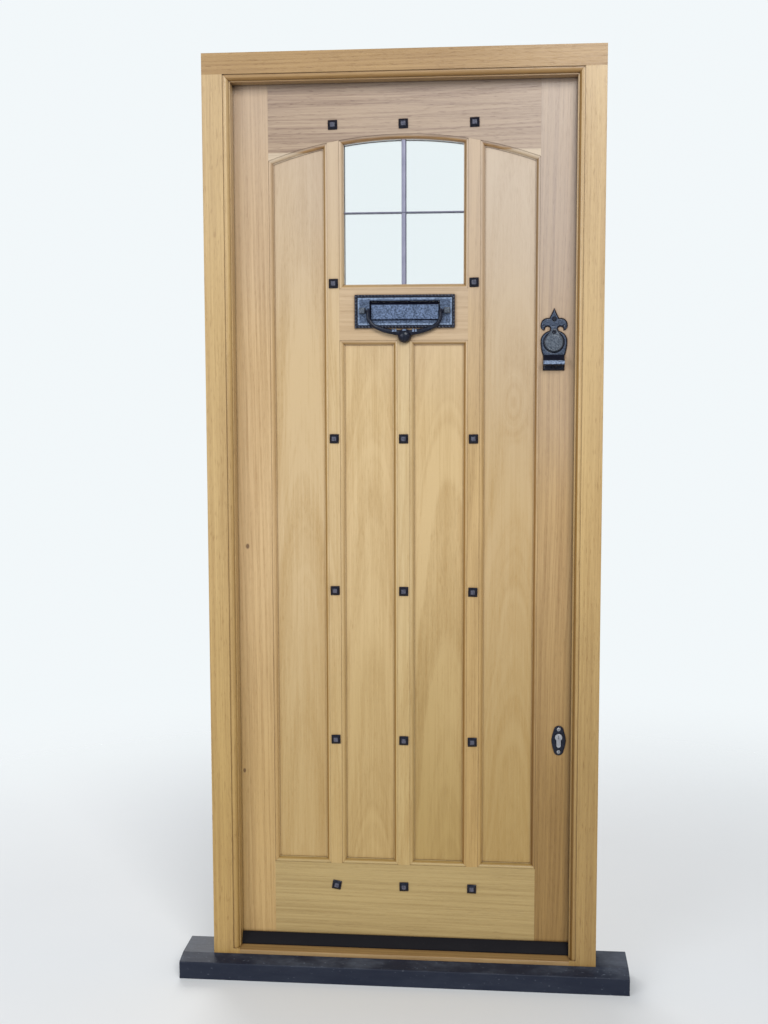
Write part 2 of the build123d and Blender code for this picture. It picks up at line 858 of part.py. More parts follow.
def lead_cross():
    """Lead cross on the outer and on the inner face of the glass."""
    level = (window_sight + arch_z(0, arch_radius)) / 2
    inner_face = glass_front() + 2 * pane_thick + pane_cavity
    clip = window_bay(0.0)
    made = []
    for face_y, way in ((glass_front(), -1), (inner_face, 1)):
        upright = along_z(came_section(lambda w, h: (w, face_y + way * h)),
                          window_sight, arch_z(0, arch_radius) + cut_clear)
        cross = along_x(came_section(lambda w, h: (face_y + way * h, level + w)),
                        -muntin_in, muntin_in)
        made.append((upright + cross) & slab(clip, glass_front() - cut_clear, inner_face + cut_clear))
    return group(made)


def bead_region(part):
    """Front shape of one glazing bead, mitred at its corners."""
    out = groove_depth - bead_fit
    right = muntin_in
    base = window_sight
    low_out, low_in = (right + out, base - out), (right, base)
    high_out = (right + out, arch_z(right + out, arch_radius + out))
    high_in = (right, arch_z(right, arch_radius))
    if part == "bottom":
        return Polygon((-low_out[0], low_out[1]), low_out, low_in, (-low_in[0], low_in[1]))
    if part == "right":
        return Polygon(low_in, low_out, high_out, high_in)
    if part == "left":
        return mirror(bead_region("right"), about=Plane.YZ)
    outer = ThreePointArc(high_out, (0, arch_z(0, arch_radius + out)), (-high_out[0], high_out[1]))
    inner = ThreePointArc((-high_in[0], high_in[1]), (0, arch_z(0, arch_radius)), high_in)
    return make_face(outer + Line((-high_out[0], high_out[1]), (-high_in[0], high_in[1]))
                     + inner + Line(high_in, high_out))


def glazing_beads():
    """Four mitred oak beads that hold the glass from inside, chamfered towards it."""
    y0 = glass_front() + 2 * pane_thick + pane_cavity
    beads = [slab(bead_region(part), y0, leaf_back) for part in ("bottom", "right", "left", "top")]
    slope = loft([Plane.XZ.offset(-(y0 + bead_lip)) * window_bay(0.0).face(),
                  Plane.XZ.offset(-(leaf_back + flush)) * window_bay(bead_splay).face()], ruled=True)
    return group([bead - slope for bead in beads])


def frame_moulding_section(place):
    """Air above the frame's quirked ovolo, with place turning distance in and depth into a point."""
    width = frame_jamb_width - frame_flat_width + cut_clear
    start = (frame_quirk_width, frame_quirk_depth)
    end = (frame_ovolo_end, frame_ovolo_depth)
    bulge = (start[0] + (end[0] - start[0]) * frame_bulge_across,
             start[1] + (end[1] - start[1]) * frame_bulge_down)
    curve = ThreePointArc(place(*start), place(*bulge), place(*end))
    rest = Polyline(place(*end), place(width, frame_ovolo_depth), place(width, -cut_clear),
                    place(0, -cut_clear), place(0, frame_quirk_depth), place(*start))
    return make_face(curve + rest)


def jamb_tenon(side, spare=0.0, end=0.0):
    """Tenon of a jamb up into the head."""
    x0, x1 = sorted((side * (cheek + jamb_tenon_inner), side * (frame_half - jamb_tenon_outer)))
    half = frame_tenon_thick / 2 + spare
    middle = frame_depth / 2 + jamb_tenon_back
    return block(x0 - spare, x1 + spare, middle - half, middle + half,
                 flat_edge_top - jamb_tenon_root, flat_edge_top + frame_tenon + end)


def sill_tenon(side, spare=0.0, end=0.0):
    """Tenon of the sill into a jamb."""
    x0, x1 = sorted((side * (reveal - tenon_root), side * (reveal + frame_tenon)))
    middle = frame_stop_depth / 2 + sill_tenon_back
    half = frame_tenon_thick / 2 + spare
    return block(x0 - end, x1 + end, middle - half, middle + half,
                 sill_bed + sill_tenon_shoulder - spare, nosing_top - sill_tenon_shoulder + spare)


def jamb(side):
    """Jamb with its moulded stop, rebate and bottom block."""
    section = Polygon(*[(side * x, y) for x, y in (
        (frame_half, 0), (frame_half, frame_depth), (cheek, frame_depth),
        (cheek, frame_stop_depth), (reveal, frame_stop_depth), (reveal, 0))])
    shape = along_z(section, sill_bed, frame_top)
    moulding = frame_moulding_section(lambda u, v: (side * (flat_edge - u), v))
    shape = shape - along_z(moulding, nosing_top + jamb_moulding_stop, frame_top + cut_clear)
    outer, inner = frame_half + cut_clear, reveal - cut_clear
    keep_points = [(outer, sill_bed - cut_clear), (outer, flat_edge_top), (flat_edge, flat_edge_top),
                   (reveal, reveal_top), (inner, reveal_top - cut_clear), (inner, sill_bed - cut_clear)]
    shape = shape & slab(Polygon(*[(side * x, z) for x, z in keep_points]), -cut_clear,
                         frame_depth + cut_clear)
    shape = shape - block(side * inner, side * cheek, frame_stop_depth, frame_depth + cut_past,
                          sill_bed - cut_past, sill_top)
    shape = shape + jamb_tenon(side)
    shape = shape - sill_tenon(side, tenon_fit, tenon_end_gap)
    return cut_all(shape, fixing_holes(side))


def fixing_holes(side):
    """Clearance holes for the frame screws, through the rebate into the wall."""
    y = (frame_stop_depth + frame_depth) / 2
    x0, x1 = sorted((side * (cheek - cut_past), side * (frame_half + cut_past)))
    return [rod_x(x0, x1, y, z, fixing_radius) for z in fixing_heights]


def hinge_jamb():
    """Left jamb, recessed for the hinges."""
    return cut_all(jamb(-1), hinge_frame_recesses() + hinge_screw_holes("frame"))


def lock_jamb():
    """Right jamb, pocketed for the strike and screwed for the rim keep."""
    return cut_all(jamb(1), [strike_pocket()] + keep_screw_holes())


def frame_head():
    """Head that runs across both jambs, with the moulding mitred at the corners."""
    section = Polygon((0, reveal_top), (frame_stop_depth, reveal_top),
                      (frame_stop_depth, cheek_top), (frame_depth, cheek_top),
                      (frame_depth, frame_top), (0, frame_top))
    shape = along_x(section, -frame_half, frame_half)
    moulding = frame_moulding_section(lambda u, v: (v, flat_edge_top - u))
    outer = frame_half + cut_clear
    shape = shape - along_x(moulding, -outer, outer)
    points = [(outer, frame_top + cut_clear), (outer, flat_edge_top), (flat_edge, flat_edge_top),
              (reveal, reveal_top), (reveal, reveal_top - cut_clear)]
    outline = points + [(-x, z) for x, z in points[::-1]]
    shape = shape & slab(Polygon(*outline), -cut_clear, frame_depth + cut_clear)
    for side in (-1, 1):
        shape = shape - jamb_tenon(side, tenon_fit, tenon_end_gap)
    return shape


def oak_sill():
    """Weathered sill between the jambs, with an upstand under the leaf."""
    section = Polygon((0, sill_bed), (frame_depth, sill_bed), (frame_depth, sill_top),
                      (upstand_front, sill_top), (upstand_front, slope_top), (0, nosing_top))
    shape = along_x(section, -reveal, reveal)
    arris = shape.edges().filter_by(Axis.X).sort_by(Axis.Y)[:2].sort_by(Axis.Z)[-1]
    shape = fillet(arris, sill_arris)
    ends = block(-cheek, cheek, frame_stop_depth, frame_depth, sill_bed, sill_top)
    ends = ends - block(-reveal, reveal, frame_stop_depth - cut_past, upstand_front, slope_top,
                        sill_top + cut_past)
    shape = shape + ends
    for side in (-1, 1):
        shape = shape + sill_tenon(side)
    return shape


def sub_sill():
    """Painted sub-sill that carries the frame and runs on past it at both ends."""
    front = -sub_sill_projection
    section = Polygon((front, 0), (frame_depth, 0), (frame_depth, sill_bed), (0, sill_bed),
                      (front, sub_sill_front))
    shape = along_x(section, -sub_sill_half_length, sub_sill_half_length)
    arris = shape.edges().filter_by(Axis.X).sort_by(Axis.Y)[:2].sort_by(Axis.Z)[-1]
    shape = fillet(arris, sub_sill_arris)
    end = sub_sill_half_length + cut_past
    return shape - rod_x(-end, end, front + drip_back, 0, drip_groove / 2)


def threshold_bar():
    """Black weather bar bedded on the sill, whose upstand the leaf closes against."""
    top = leaf_bottom + threshold_lap
    slope = (slope_top - nosing_top) / upstand_front
    foot = nosing_top + slope * threshold_front
    stop = leaf_front - seal_gap
    toe = (threshold_front, foot + threshold_toe)
    bend = (threshold_front + threshold_bend_back, foot + threshold_bend_up)
    crest = (stop - threshold_wall, top)
    rest = Polyline(crest, (stop, top), (stop, nosing_top + slope * stop), (threshold_front, foot), toe)
    end = reveal - threshold_end_gap
    return along_x(make_face(ThreePointArc(toe, bend, crest) + rest), -end, end)


def threshold_seal():
    """Rubber lip between the weather bar and the foot of the leaf."""
    stop = leaf_front - seal_gap
    end = reveal - seal_inset
    return block(-end, end, stop, leaf_front - seal_touch,
                 leaf_bottom + seal_lap_gap, leaf_bottom + threshold_lap - seal_lap_gap)


def frame_seals():
    """Rubber seals round the rebate, on both jambs and under the head."""
    y0 = frame_stop_depth
    y1 = leaf_front - seal_touch
    edge = cheek - seal_inset
    top = cheek_top - seal_inset
    strips = [block(side * (edge - seal_width), side * edge, y0, y1, sill_top + seal_foot_gap,
                    top - seal_width) for side in (-1, 1)]
    strips.append(block(-edge, edge, y0, y1, top - seal_width, top))
    return group(strips)


def hinge_centres():
    """Heights of the three hinges."""
    high = leaf_top - hinge_from_top - hinge_height / 2
    low = leaf_bottom + hinge_from_bottom + hinge_height / 2
    return (low, (low + high) / 2, high)


def hinge_recesses(x0, x1):
    """Recesses for the three hinges between two depths into the wood."""
    y0 = pivot_y - hinge_leaf_width - hinge_knuckle_radius - hinge_recess_fit
    half = hinge_height / 2 + hinge_recess_fit
    return [block(x0, x1, y0, leaf_back + cut_past, z - half, z + half) for z in hinge_centres()]


def hinge_leaf_recesses():
    """Recesses in the stile for the leaves of the hinges."""
    return hinge_recesses(-leaf_half - cut_past, -leaf_half + hinge_recess)


def hinge_frame_recesses():
    """Recesses in the jamb for the leaves of the hinges."""
    return hinge_recesses(-cheek - hinge_recess, -cheek + cut_past)


def knuckle_spans(z):
    """Height ranges of a hinge's knuckles from the bottom up."""
    length = hinge_height / hinge_knuckles
    low = z - hinge_height / 2
    return [(low + n * length, low + (n + 1) * length) for n in range(hinge_knuckles)]


def hinge_half(z, which):
    """One flap of a butt hinge with its knuckles; frame takes the odd ones and leaf the even ones."""
    own = 0 if which == "frame" else 1
    y0 = pivot_y - hinge_leaf_width - hinge_knuckle_radius
    if which == "frame":
        outer = -cheek - hinge_recess
        inner = outer + hinge_leaf_thick
    else:
        outer = -leaf_half + hinge_recess
        inner = outer - hinge_leaf_thick
    flap = block(outer, inner, y0, pivot_y, z - hinge_height / 2, z + hinge_height / 2)
    bore = hinge_pin_radius + hinge_pin_fit
    knuckles = []
    for n, (low, high) in enumerate(knuckle_spans(z)):
        if n % 2 == own:
            knuckles.append(rod_z(pivot_x, pivot_y, low + hinge_knuckle_gap / 2,
                                  high - hinge_knuckle_gap / 2, hinge_knuckle_radius))
        else:
            flap = flap - rod_z(pivot_x, pivot_y, low - hinge_knuckle_gap / 2,
                                high + hinge_knuckle_gap / 2,
                                hinge_knuckle_radius + hinge_knuckle_clear)
    for knuckle in knuckles:
        flap = flap + knuckle
    flap = flap - rod_z(pivot_x, pivot_y, z - hinge_height, z + hinge_height, bore)
    return cut_all(flap, [screw_x(*place, screw_fit) for place in hinge_screw_places(z, which)])


def hinge_halves(which):
    """The three flaps on one side."""
    return group([hinge_half(z, which) for z in hinge_centres()])


def hinge_pins():
    """Steel pins with a small button at each end."""
    pins = []
    half = hinge_height / 2 + hinge_pin_gap
    end = half + hinge_button
    for z in hinge_centres():
        pin = rod_z(pivot_x, pivot_y, z - end, z + end, hinge_pin_radius)
        for way in (-1, 1):
            low, high = sorted((z + way * half, z + way * end))
            pin = pin + rod_z(pivot_x, pivot_y, low, high, hinge_knuckle_radius - hinge_button_inset)
        pins.append(pin)
    return group(pins)


def hinge_screw_places(z, which):
    """Head places of a hinge's screws as x, y, z and way into the wood."""
    y = pivot_y - hinge_knuckle_radius - hinge_leaf_width * hinge_screw_line
    spread = hinge_height / hinge_screws
    if which == "frame":
        x = -cheek - hinge_recess + hinge_leaf_thick
        way = -1
    else:
        x = -leaf_half + hinge_recess - hinge_leaf_thick
        way = 1
    offsets = [(n - (hinge_screws - 1) / 2) * spread for n in range(hinge_screws)]
    return [(x, y + (hinge_screw_stagger if n % 2 else -hinge_screw_stagger), z + step, way)
            for n, step in enumerate(offsets)]


def screw_x(x, y, z, way, spare=0.0):
    """Countersunk screw along X with its head flush at x."""
    head = screw_head_radius - screw_shank_radius
    cone = Cone(screw_head_radius + spare, screw_shank_radius + spare, head)
    cone = Pos(x + way * head / 2, y, z) * Rot(0, way * 90, 0) * cone
    x0, x1 = sorted((x + way * head * screw_neck, x + way * (screw_length + spare)))
    return cone + rod_x(x0, x1, y, z, screw_shank_radius + spare)


def screw_y(x, y, z, way, spare=0.0, length=screw_length):
    """Countersunk screw along Y with its head flush at y."""
    head = screw_head_radius - screw_shank_radius
    cone = Cone(screw_head_radius + spare, screw_shank_radius + spare, head)
    cone = Pos(x, y + way * head / 2, z) * Rot(-way * 90, 0, 0) * cone
    y0, y1 = sorted((y + way * head * screw_neck, y + way * (length + spare)))
    return cone + rod_y(x, y0, y1, z, screw_shank_radius + spare)


def hinge_screw_holes(which):
    """Holes in the wood for the hinge screws."""
    return [screw_x(*place, screw_fit) for z in hinge_centres()
            for place in hinge_screw_places(z, which)]


def frame_screws():
    """Screws that hold the hinges, the rim keep and the strike to the jambs."""
    made = [screw_x(*place) for z in hinge_centres() for place in hinge_screw_places(z, "frame")]
    made += [screw_y(*place) for place in keep_screw_places()]
    made += [screw_x(*place) for place in strike_screw_places()]
    return group(made)


def leaf_screws():
    """Screws that hold the hinges, the latch and the escutcheons to the leaf."""
    made = [screw_x(*place) for z in hinge_centres() for place in hinge_screw_places(z, "leaf")]
    made += [screw_y(*place) for place in latch_screw_places()]
    made += [screw_y(*place, length=escutcheon_screw_length) for place in escutcheon_screw_places()]
    made += [screw_x(*place) for place in forend_screw_places()]
    return group(made)


def letter_aperture():
    """Hole through the mid rail for the letters and the flap."""
    middle = plate_z + slot_above_centre
    half_w = slot_width / 2 + slot_clearance
    half_h = slot_height / 2 + slot_clearance
    return block(plate_offset - half_w, plate_offset + half_w, leaf_front - cut_clear,
                 leaf_back + cut_clear, middle - half_h, middle + half_h)


def letter_bolt_places():
    """Axes of the two bolts that hold the letter plate."""
    return [(plate_offset + side * lug_span, plate_z + slot_above_centre) for side in (-1, 1)]


def letter_bolt_holes():
    """Clearance holes for the letter plate's bolts."""
    return [rod_y(x, leaf_front - cut_past, leaf_back + cut_past, z, bolt_radius + bolt_clear)
            for x, z in letter_bolt_places()]


def letter_plate():
    """Cast plate with a raised border, the letter slot and two bevelled lugs."""
    face_y = leaf_front - plate_thick
    body = Pos(plate_offset, leaf_front, plate_z) * extrude(
        Plane.XZ * RectangleRounded(plate_width, plate_height, plate_corner), plate_thick)
    rim = Rectangle(plate_width, plate_height) - Rectangle(
        plate_width - 2 * plate_border, plate_height - 2 * plate_border)
    body = body + Pos(plate_offset, face_y, plate_z) * extrude(
        Plane.XZ * rim, plate_border_rise, taper=plate_border_splay)
    middle = plate_z + slot_above_centre
    body = body - block(plate_offset - slot_width / 2, plate_offset + slot_width / 2,
                        face_y - cut_past, leaf_front + cut_past, middle - slot_height / 2,
                        middle + slot_height / 2)
    for x, z in letter_bolt_places():
        base = Plane.XZ.offset(-face_y) * Pos(x, z) * Rectangle(lug_size, lug_size)
        top = Plane.XZ.offset(-(face_y - lug_rise)) * Pos(x, z) * Rectangle(lug_top, lug_top)
        body = body + loft([base.face(), top.face()])
        inward = -1 if x > plate_offset else 1
        x0, x1 = sorted((x - inward * cut_past, x + inward * (lug_size / 2 + cut_past)))
        body = body - rod_x(x0, x1, bail_axis_y(), bail_axis_z(), bail_pin_radius + pin_fit)
    for side in (-1, 1):
        x0, x1 = sorted((plate_offset + side * slot_width / 2,
                         plate_offset + side * (slot_width / 2 + flap_ear_thick)))
        body = body + block(x0, x1, leaf_front - cut_past, flap_axis_y() + flap_ear_back,
                            flap_axis_z() - flap_ear_low, flap_axis_z() + flap_ear_high)
        body = body - rod_x(x0 - cut_past, x1 + cut_past, flap_axis_y(), flap_axis_z(),
                            flap_pin_radius + pin_fit)
    return body


def bail_axis_y():
    """Depth of the knocker's hinge line."""
    return leaf_front - plate_thick - bail_standoff - bail_thick / 2


def bail_axis_z():
    """Height of the knocker's hinge line."""
    return plate_z + slot_above_centre


def flap_axis_y():
    """Depth of the flap's hinge line."""
    return leaf_front + flap_axis_back


def flap_axis_z():
    """Height of the flap's hinge line."""
    return plate_z + slot_above_centre + slot_height / 2 - flap_axis_drop


def letter_flap():
    """Inner flap of the letter slot, hung on a pin along its top edge."""
    middle = plate_z + slot_above_centre
    half = slot_width / 2 - flap_clearance
    left, right = plate_offset - half, plate_offset + half
    front = flap_axis_y() - flap_front
    low = middle - slot_height / 2 + flap_clearance
    flap = block(left, right, front, front + flap_thick, low, flap_axis_z() - flap_top_gap)
    roll = rod_x(left, right, flap_axis_y(), flap_axis_z(), flap_roll_radius)
    neck = block(left, right, front + flap_neck_inset, flap_axis_y(),
                 flap_axis_z() - flap_neck_drop, flap_axis_z())
    pin = rod_x(left - flap_pin_end, right + flap_pin_end, flap_axis_y(), flap_axis_z(),
                flap_pin_radius)
    return flap + neck + roll + pin


def letter_bolts():
    """Bolts, washers and nuts of the letter plate, seen on the inside."""
    made = []
    for x, z in letter_bolt_places():
        end = leaf_back + bolt_washer_thick + nut_thick + bolt_end
        bolt = rod_y(x, leaf_front, end, z, bolt_radius)
        washer = rod_y(x, leaf_back, leaf_back + bolt_washer_thick, z, bolt_washer_radius)
        nut_face = Plane.XZ.offset(-(leaf_back + bolt_washer_thick + nut_thick)) * Pos(x, z)
        nut = extrude(nut_face * RegularPolygon(nut_across / 2, 6, major_radius=False), nut_thick)
        made.append(bolt + washer + nut)
    return group(made)


def knocker():
    """D-shaped knocker bail hung between the lugs, with a round striking boss."""
    z0 = bail_axis_z()
    y0 = bail_axis_y() - bail_thick / 2
    side = make_face(traced(bail_outer_start, bail_outer_steps + bail_inner_steps))
    shape = side + mirror(side, about=Plane.YZ)
    bail = eased_slab(Pos(plate_offset, z0) * shape, y0, y0 + bail_thick, bail_arris)
    boss_z = z0 - bail_drop - boss_drop
    boss = Pos(plate_offset, y0 + bail_thick, boss_z) * Rot(90, 0, 0) * Cone(
        boss_radius, boss_radius * boss_nose, bail_thick + boss_front,
        align=(Align.CENTER, Align.CENTER, Align.MIN))
    bail = bail + boss + rod_y(plate_offset, y0 + bail_thick - flush, leaf_front - boss_rest, boss_z,
                               boss_radius)
    for way in (-1, 1):
        x0, x1 = sorted((plate_offset + way * (bail_arm_span - bail_pin_root),
                         plate_offset + way * (bail_arm_span + bail_pin_reach)))
        bail = bail + rod_x(x0, x1, bail_axis_y(), z0, bail_pin_radius)
    return bail


def pull_lip():
    """Section of the pull's rolled finger lip, in Y and Z."""
    face_y = leaf_front - pull_thick
    root = face_y + pull_lip_root
    nose = face_y - pull_lip_reach
    top = latch_z - pull_lip_drop
    shoulder = (nose + pull_lip_shoulder[0], top - pull_lip_shoulder[1])
    end = (nose + pull_lip_end[0], top - pull_lip_end[1])
    back = (end[0] + pull_lip_thick, end[1] + pull_lip_root)
    low = (root, top - 2 * pull_lip_thick)
    outer = ThreePointArc((root, top), (face_y - pull_lip_bow[0], top - pull_lip_bow[1]), shoulder)
    outer += ThreePointArc(shoulder, (nose, top - pull_lip_nose), end)
    inner = Line(end, back) + ThreePointArc(
        back, (face_y - pull_lip_hollow[0], top - pull_lip_hollow[1]), low)
    return make_face(outer + inner + Line(low, (root, top)))


def pull_plate():
    """Fleur-de-lis pull with a rolled finger lip below the cylinder."""
    half = make_face(traced(pull_start, pull_steps))
    shape = half + mirror(half, about=Plane.YZ)
    face_y = leaf_front - pull_thick
    body = slab(Pos(latch_x, latch_z) * shape, face_y, leaf_front)
    body = body - rod_y(latch_x, face_y - cut_past, leaf_front + cut_past, latch_z,
                        rim_body_radius + rivet_fit)
    lip_half = pull_foot_half_width - pull_lip_inset
    body = body + along_x(pull_lip(), latch_x - lip_half, latch_x + lip_half)
    for z in pull_rivet_heights():
        body = body - rod_y(latch_x, face_y - cut_past, leaf_front + cut_past, z,
                            rivet_radius + rivet_fit)
    return body


def pull_rivet_heights():
    """Heights of the pull's two round-headed fixings and of the cover's rivet."""
    return [latch_z + pull_tip - pull_rivet_below_tip, latch_z - pull_foot + pull_rivet_above_foot,
            latch_z + cover_pivot_above]


def pull_screw_holes():
    """Holes in the stile for the pull's fixings and the cover's rivet."""
    return [rod_y(latch_x, leaf_front - cut_past, leaf_front + rivet_length + cut_past, z,
                  rivet_radius + rivet_fit) for z in pull_rivet_heights()]


def dome(x, y, z, radius, height):
    """Low round head on a face at y, bulging towards the outside."""
    sphere = (radius**2 + height**2) / (2 * height)
    ball = Pos(x, y + sphere - height, z) * Sphere(sphere)
    room = radius + cut_past
    return ball & block(x - room, x + room, y - height - cut_past, y, z - room, z + room)


def rivet(y, z):
    """Round-headed rivet of the pull, its head on a face at y."""
    shank = rod_y(latch_x, y - flush, leaf_front + rivet_length, z, rivet_radius)
    return dome(latch_x, y, z, rivet_head_radius, rivet_head) + shank


def pull_rivets():
    """Round-headed fixings of the pull."""
    return group([rivet(leaf_front - pull_thick, z) for z in pull_rivet_heights()[:2]])


def cover_rivet():
    """Rivet that the cylinder's cover swings on."""
    face = leaf_front - pull_thick - cover_gap - cover_thick - cover_gap
    return rivet(face, pull_rivet_heights()[2])


def keyhole_cover():
    """Teardrop cover that hangs over the cylinder and swings aside."""
    ear = cover_pivot_above
    shape = Circle(cover_radius) + Pos(0, ear) * Circle(cover_ear_radius)
    tilt = asin((cover_radius - cover_ear_radius) / ear)
    side = [(cover_radius * cos(tilt), cover_radius * sin(tilt)),
            (cover_ear_radius * cos(tilt), ear + cover_ear_radius * sin(tilt))]
    shape = shape + Polygon(side[0], side[1], (-side[1][0], side[1][1]), (-side[0][0], side[0][1]))
    back = leaf_front - pull_thick - cover_gap
    body = slab(Pos(latch_x, latch_z) * shape, back - cover_thick, back)
    body = chamfer(body.faces().sort_by(Axis.Y)[0].edges(), cover_arris)
    return body - rod_y(latch_x, back - cover_thick - cut_past, back + cut_past, latch_z + ear,
                        rivet_radius + rivet_fit)


def rim_cylinder():
    """Rim cylinder body through the stile, flush behind the cover."""
    front = leaf_front - pull_thick
    body = rod_y(latch_x, front, leaf_back - rim_body_inset, latch_z, rim_body_radius)
    return body - rod_y(latch_x, front - cut_past, leaf_back, latch_z, rim_plug_radius + plug_fit)


def rim_plug():
    """Turning plug of the rim cylinder with its keyway and tail bar."""
    front = leaf_front - pull_thick
    back = leaf_back - rim_body_inset
    plug = rod_y(latch_x, front, back, latch_z, rim_plug_radius)
    plug = plug - block(latch_x - keyway_half_width, latch_x + keyway_half_width, front - cut_past,
                        front + keyway_depth, latch_z - keyway_half_height,
                        latch_z + keyway_half_height)
    tail_end = leaf_back + latch_plate_thick + tail_reach
    return plug + block(latch_x - tail_thick / 2, latch_x + tail_thick / 2, back - tail_root, tail_end,
                        latch_z - tail_width / 2, latch_z + tail_width / 2)


def case_left():
    """Left end of the latch case."""
    return leaf_half - case_inset - case_width


def latch_plate():
    """Back plate between the latch case and the leaf."""
    half = case_height / 2 - latch_plate_inset
    plate = block(case_left() + latch_plate_inset, leaf_half - case_inset - latch_plate_inset, leaf_back,
                  leaf_back + latch_plate_thick, latch_z - half, latch_z + half)
    plate = plate - rod_y(latch_x, leaf_back - cut_past, leaf_back + cut_clear, latch_z,
                          latch_plate_bore)
    return cut_all(plate, latch_screw_holes())


def latch_screw_places():
    """Screws through the latch's back plate into the leaf."""
    y = leaf_back + latch_plate_thick
    rise = case_height / 2 - latch_screw_rise
    left = case_left() + latch_screw_inset - case_inset
    return [(x, y, latch_z + dz, -1) for x in (left, leaf_half - latch_screw_inset - case_inset)
            for dz in (-rise, rise)]


def latch_screw_holes():
    """Holes for the latch's screws."""
    return [screw_y(*place, screw_fit) for place in latch_screw_places()]


def latch_case():
    """Cast case of the rim latch, hollow behind, with ways for the bolt, knob and snib."""
    y0 = leaf_back + latch_plate_thick
    y1 = y0 + case_depth
    right = leaf_half - case_inset
    body = block(case_left(), right, y0, y1, latch_z - case_height / 2, latch_z + case_height / 2)
    outer_edges = body.edges().filter_by(Axis.Y) + body.faces().sort_by(Axis.Y)[-1].edges()
    body = fillet(outer_edges, case_arris)
    room = case_height / 2 - case_wall
    body = body - block(case_left() + case_wall, right - case_wall, y0 - cut_past, y1 - case_wall,
                        latch_z - room, latch_z + room)
    half_y = latch_bolt_depth / 2 + slide_fit
    half_z = latch_bolt_height / 2 + slide_fit
    body = body - block(right - case_wall - cut_past, right + cut_past, latch_middle() - half_y,
                        latch_middle() + half_y, latch_z - half_z, latch_z + half_z)
    body = body - rod_y(latch_x, y1 - case_wall - cut_past, y1 + cut_past, latch_z,
                        latch_spindle_radius + plug_fit)
    x, z0, z1 = snib_place()
    half = snib_stem + slide_fit
    return body - block(x - half, x + half, y1 - case_wall - cut_past, y1 + cut_past,
                        z0 - half, z1 + half)


def latch_middle():
    """Depth of the latch bolt's middle."""
    return leaf_back + latch_plate_thick + case_depth / 2 - latch_way_forward


def latch_bolt():
    """Spring latch bolt with its bevelled nose, drawn back."""
    nose = leaf_half - case_inset
    low, high = latch_z - latch_bolt_height / 2, latch_z + latch_bolt_height / 2
    y_low, y_high = latch_middle() - latch_bolt_depth / 2, latch_middle() + latch_bolt_depth / 2
    section = Polygon((nose - latch_bolt_length, y_low), (nose - latch_bolt_slant, y_low),
                      (nose, y_high - latch_bolt_nose), (nose, y_high),
                      (nose - latch_bolt_length, y_high))
    return along_z(section, low, high)


def latch_knob():
    """Turning knob of the latch with a waisted neck."""
    y1 = leaf_back + latch_plate_thick + case_depth
    inner = y1 - case_wall - latch_spindle_end
    seat = y1 + latch_knob_clear
    outline = Polyline((0, inner), (latch_spindle_radius, inner), (latch_spindle_radius, seat),
                       (latch_neck_radius, seat), (latch_neck_radius, y1 + latch_neck_reach),
                       (latch_knob_radius, y1 + latch_knob_back), (latch_knob_radius, y1 + latch_knob_rim),
                       (latch_knob_crown, y1 + latch_knob_reach), (0, y1 + latch_knob_reach), (0, inner))
    return Pos(latch_x, 0, latch_z) * revolve(make_face(outline), Axis.Y)


def snib_place():
    """Place of the snib: x, and the heights of its travel."""
    return case_left() + snib_inset, latch_z - snib_travel / 2, latch_z + snib_travel / 2


def latch_snib():
    """Small slide that holds the bolt back."""
    x, z0, _ = snib_place()
    y1 = leaf_back + latch_plate_thick + case_depth
    inner = y1 - case_wall - snib_lift
    half = snib_size / 2
    stem = block(x - snib_stem, x + snib_stem, inner - snib_foot_thick / 2, y1 + 2 * snib_lift,
                 z0 - snib_stem, z0 + snib_stem)
    button = block(x - half, x + half, y1 + snib_lift, y1 + snib_rise, z0 - half, z0 + half)
    inside = block(x - snib_foot, x + snib_foot, inner - snib_foot_thick, inner,
                   z0 - snib_foot, z0 + snib_foot)
    return stem + chamfer(button.faces().sort_by(Axis.Y)[-1].edges(), snib_arris) + inside


def keep_pocket_end():
    """Far wall of the room that the latch bolt shoots into."""
    return leaf_half - case_inset + latch_throw + keep_room


def keep_screw_places():
    """Screws of the rim keep into the jamb."""
    x = keep_pocket_end() + keep_wall + keep_screw_inset
    rise = case_height / 2 - keep_screw_rise
    return [(x, frame_depth + keep_foot_thick, latch_z + way * rise, -1) for way in (-1, 1)]


def keep_screw_holes():
    """Holes for the rim keep's and the strike's screws."""
    return ([screw_y(*place, screw_fit) for place in keep_screw_places()]
            + [screw_x(*place, screw_fit) for place in strike_screw_places()])


def latch_keep():
    """Rim keep on the jamb that the latch bolt shoots into."""
    x0 = cheek + case_inset
    x1 = keep_pocket_end() + keep_wall + keep_foot_width
    y0 = frame_depth
    depth = latch_plate_thick + case_depth
    low, high = latch_z - case_height / 2, latch_z + case_height / 2
    foot = block(x0, x1, y0, y0 + keep_foot_thick, low, high)
    half = latch_bolt_height / 2 + case_wall
    box = block(x0, keep_pocket_end() + keep_wall, y0, y0 + depth - keep_front,
                latch_z - half, latch_z + half)
    box = fillet(box.edges().filter_by(Axis.Z).sort_by(Axis.Y)[-2:], case_arris)
    half_y = latch_bolt_depth / 2 + keep_bolt_room
    half_z = latch_bolt_height / 2 + keep_bolt_room
    pocket = block(x0 - cut_past, keep_pocket_end(), latch_middle() - half_y,
                   latch_middle() + half_y, latch_z - half_z, latch_z + half_z)
    return cut_all(foot + box - pocket, keep_screw_holes()[:2])


def profile_shape(spare):
    """Face of a profile cylinder about its plug: a round part above a straight lobe."""
    half = profile_lobe_width / 2 + spare
    low = -(profile_height - profile_radius) - spare
    lobe = Polygon((-half, low + half), (half, low + half), (half, 0), (-half, 0))
    return Circle(profile_radius + spare) + lobe + Pos(0, low + half) * Circle(half)


def profile_prism(y0, y1, spare):
    """Profile cylinder's body, or the way cut for it."""
    return slab(Pos(lock_x, lock_z) * profile_shape(spare), y0, y1)


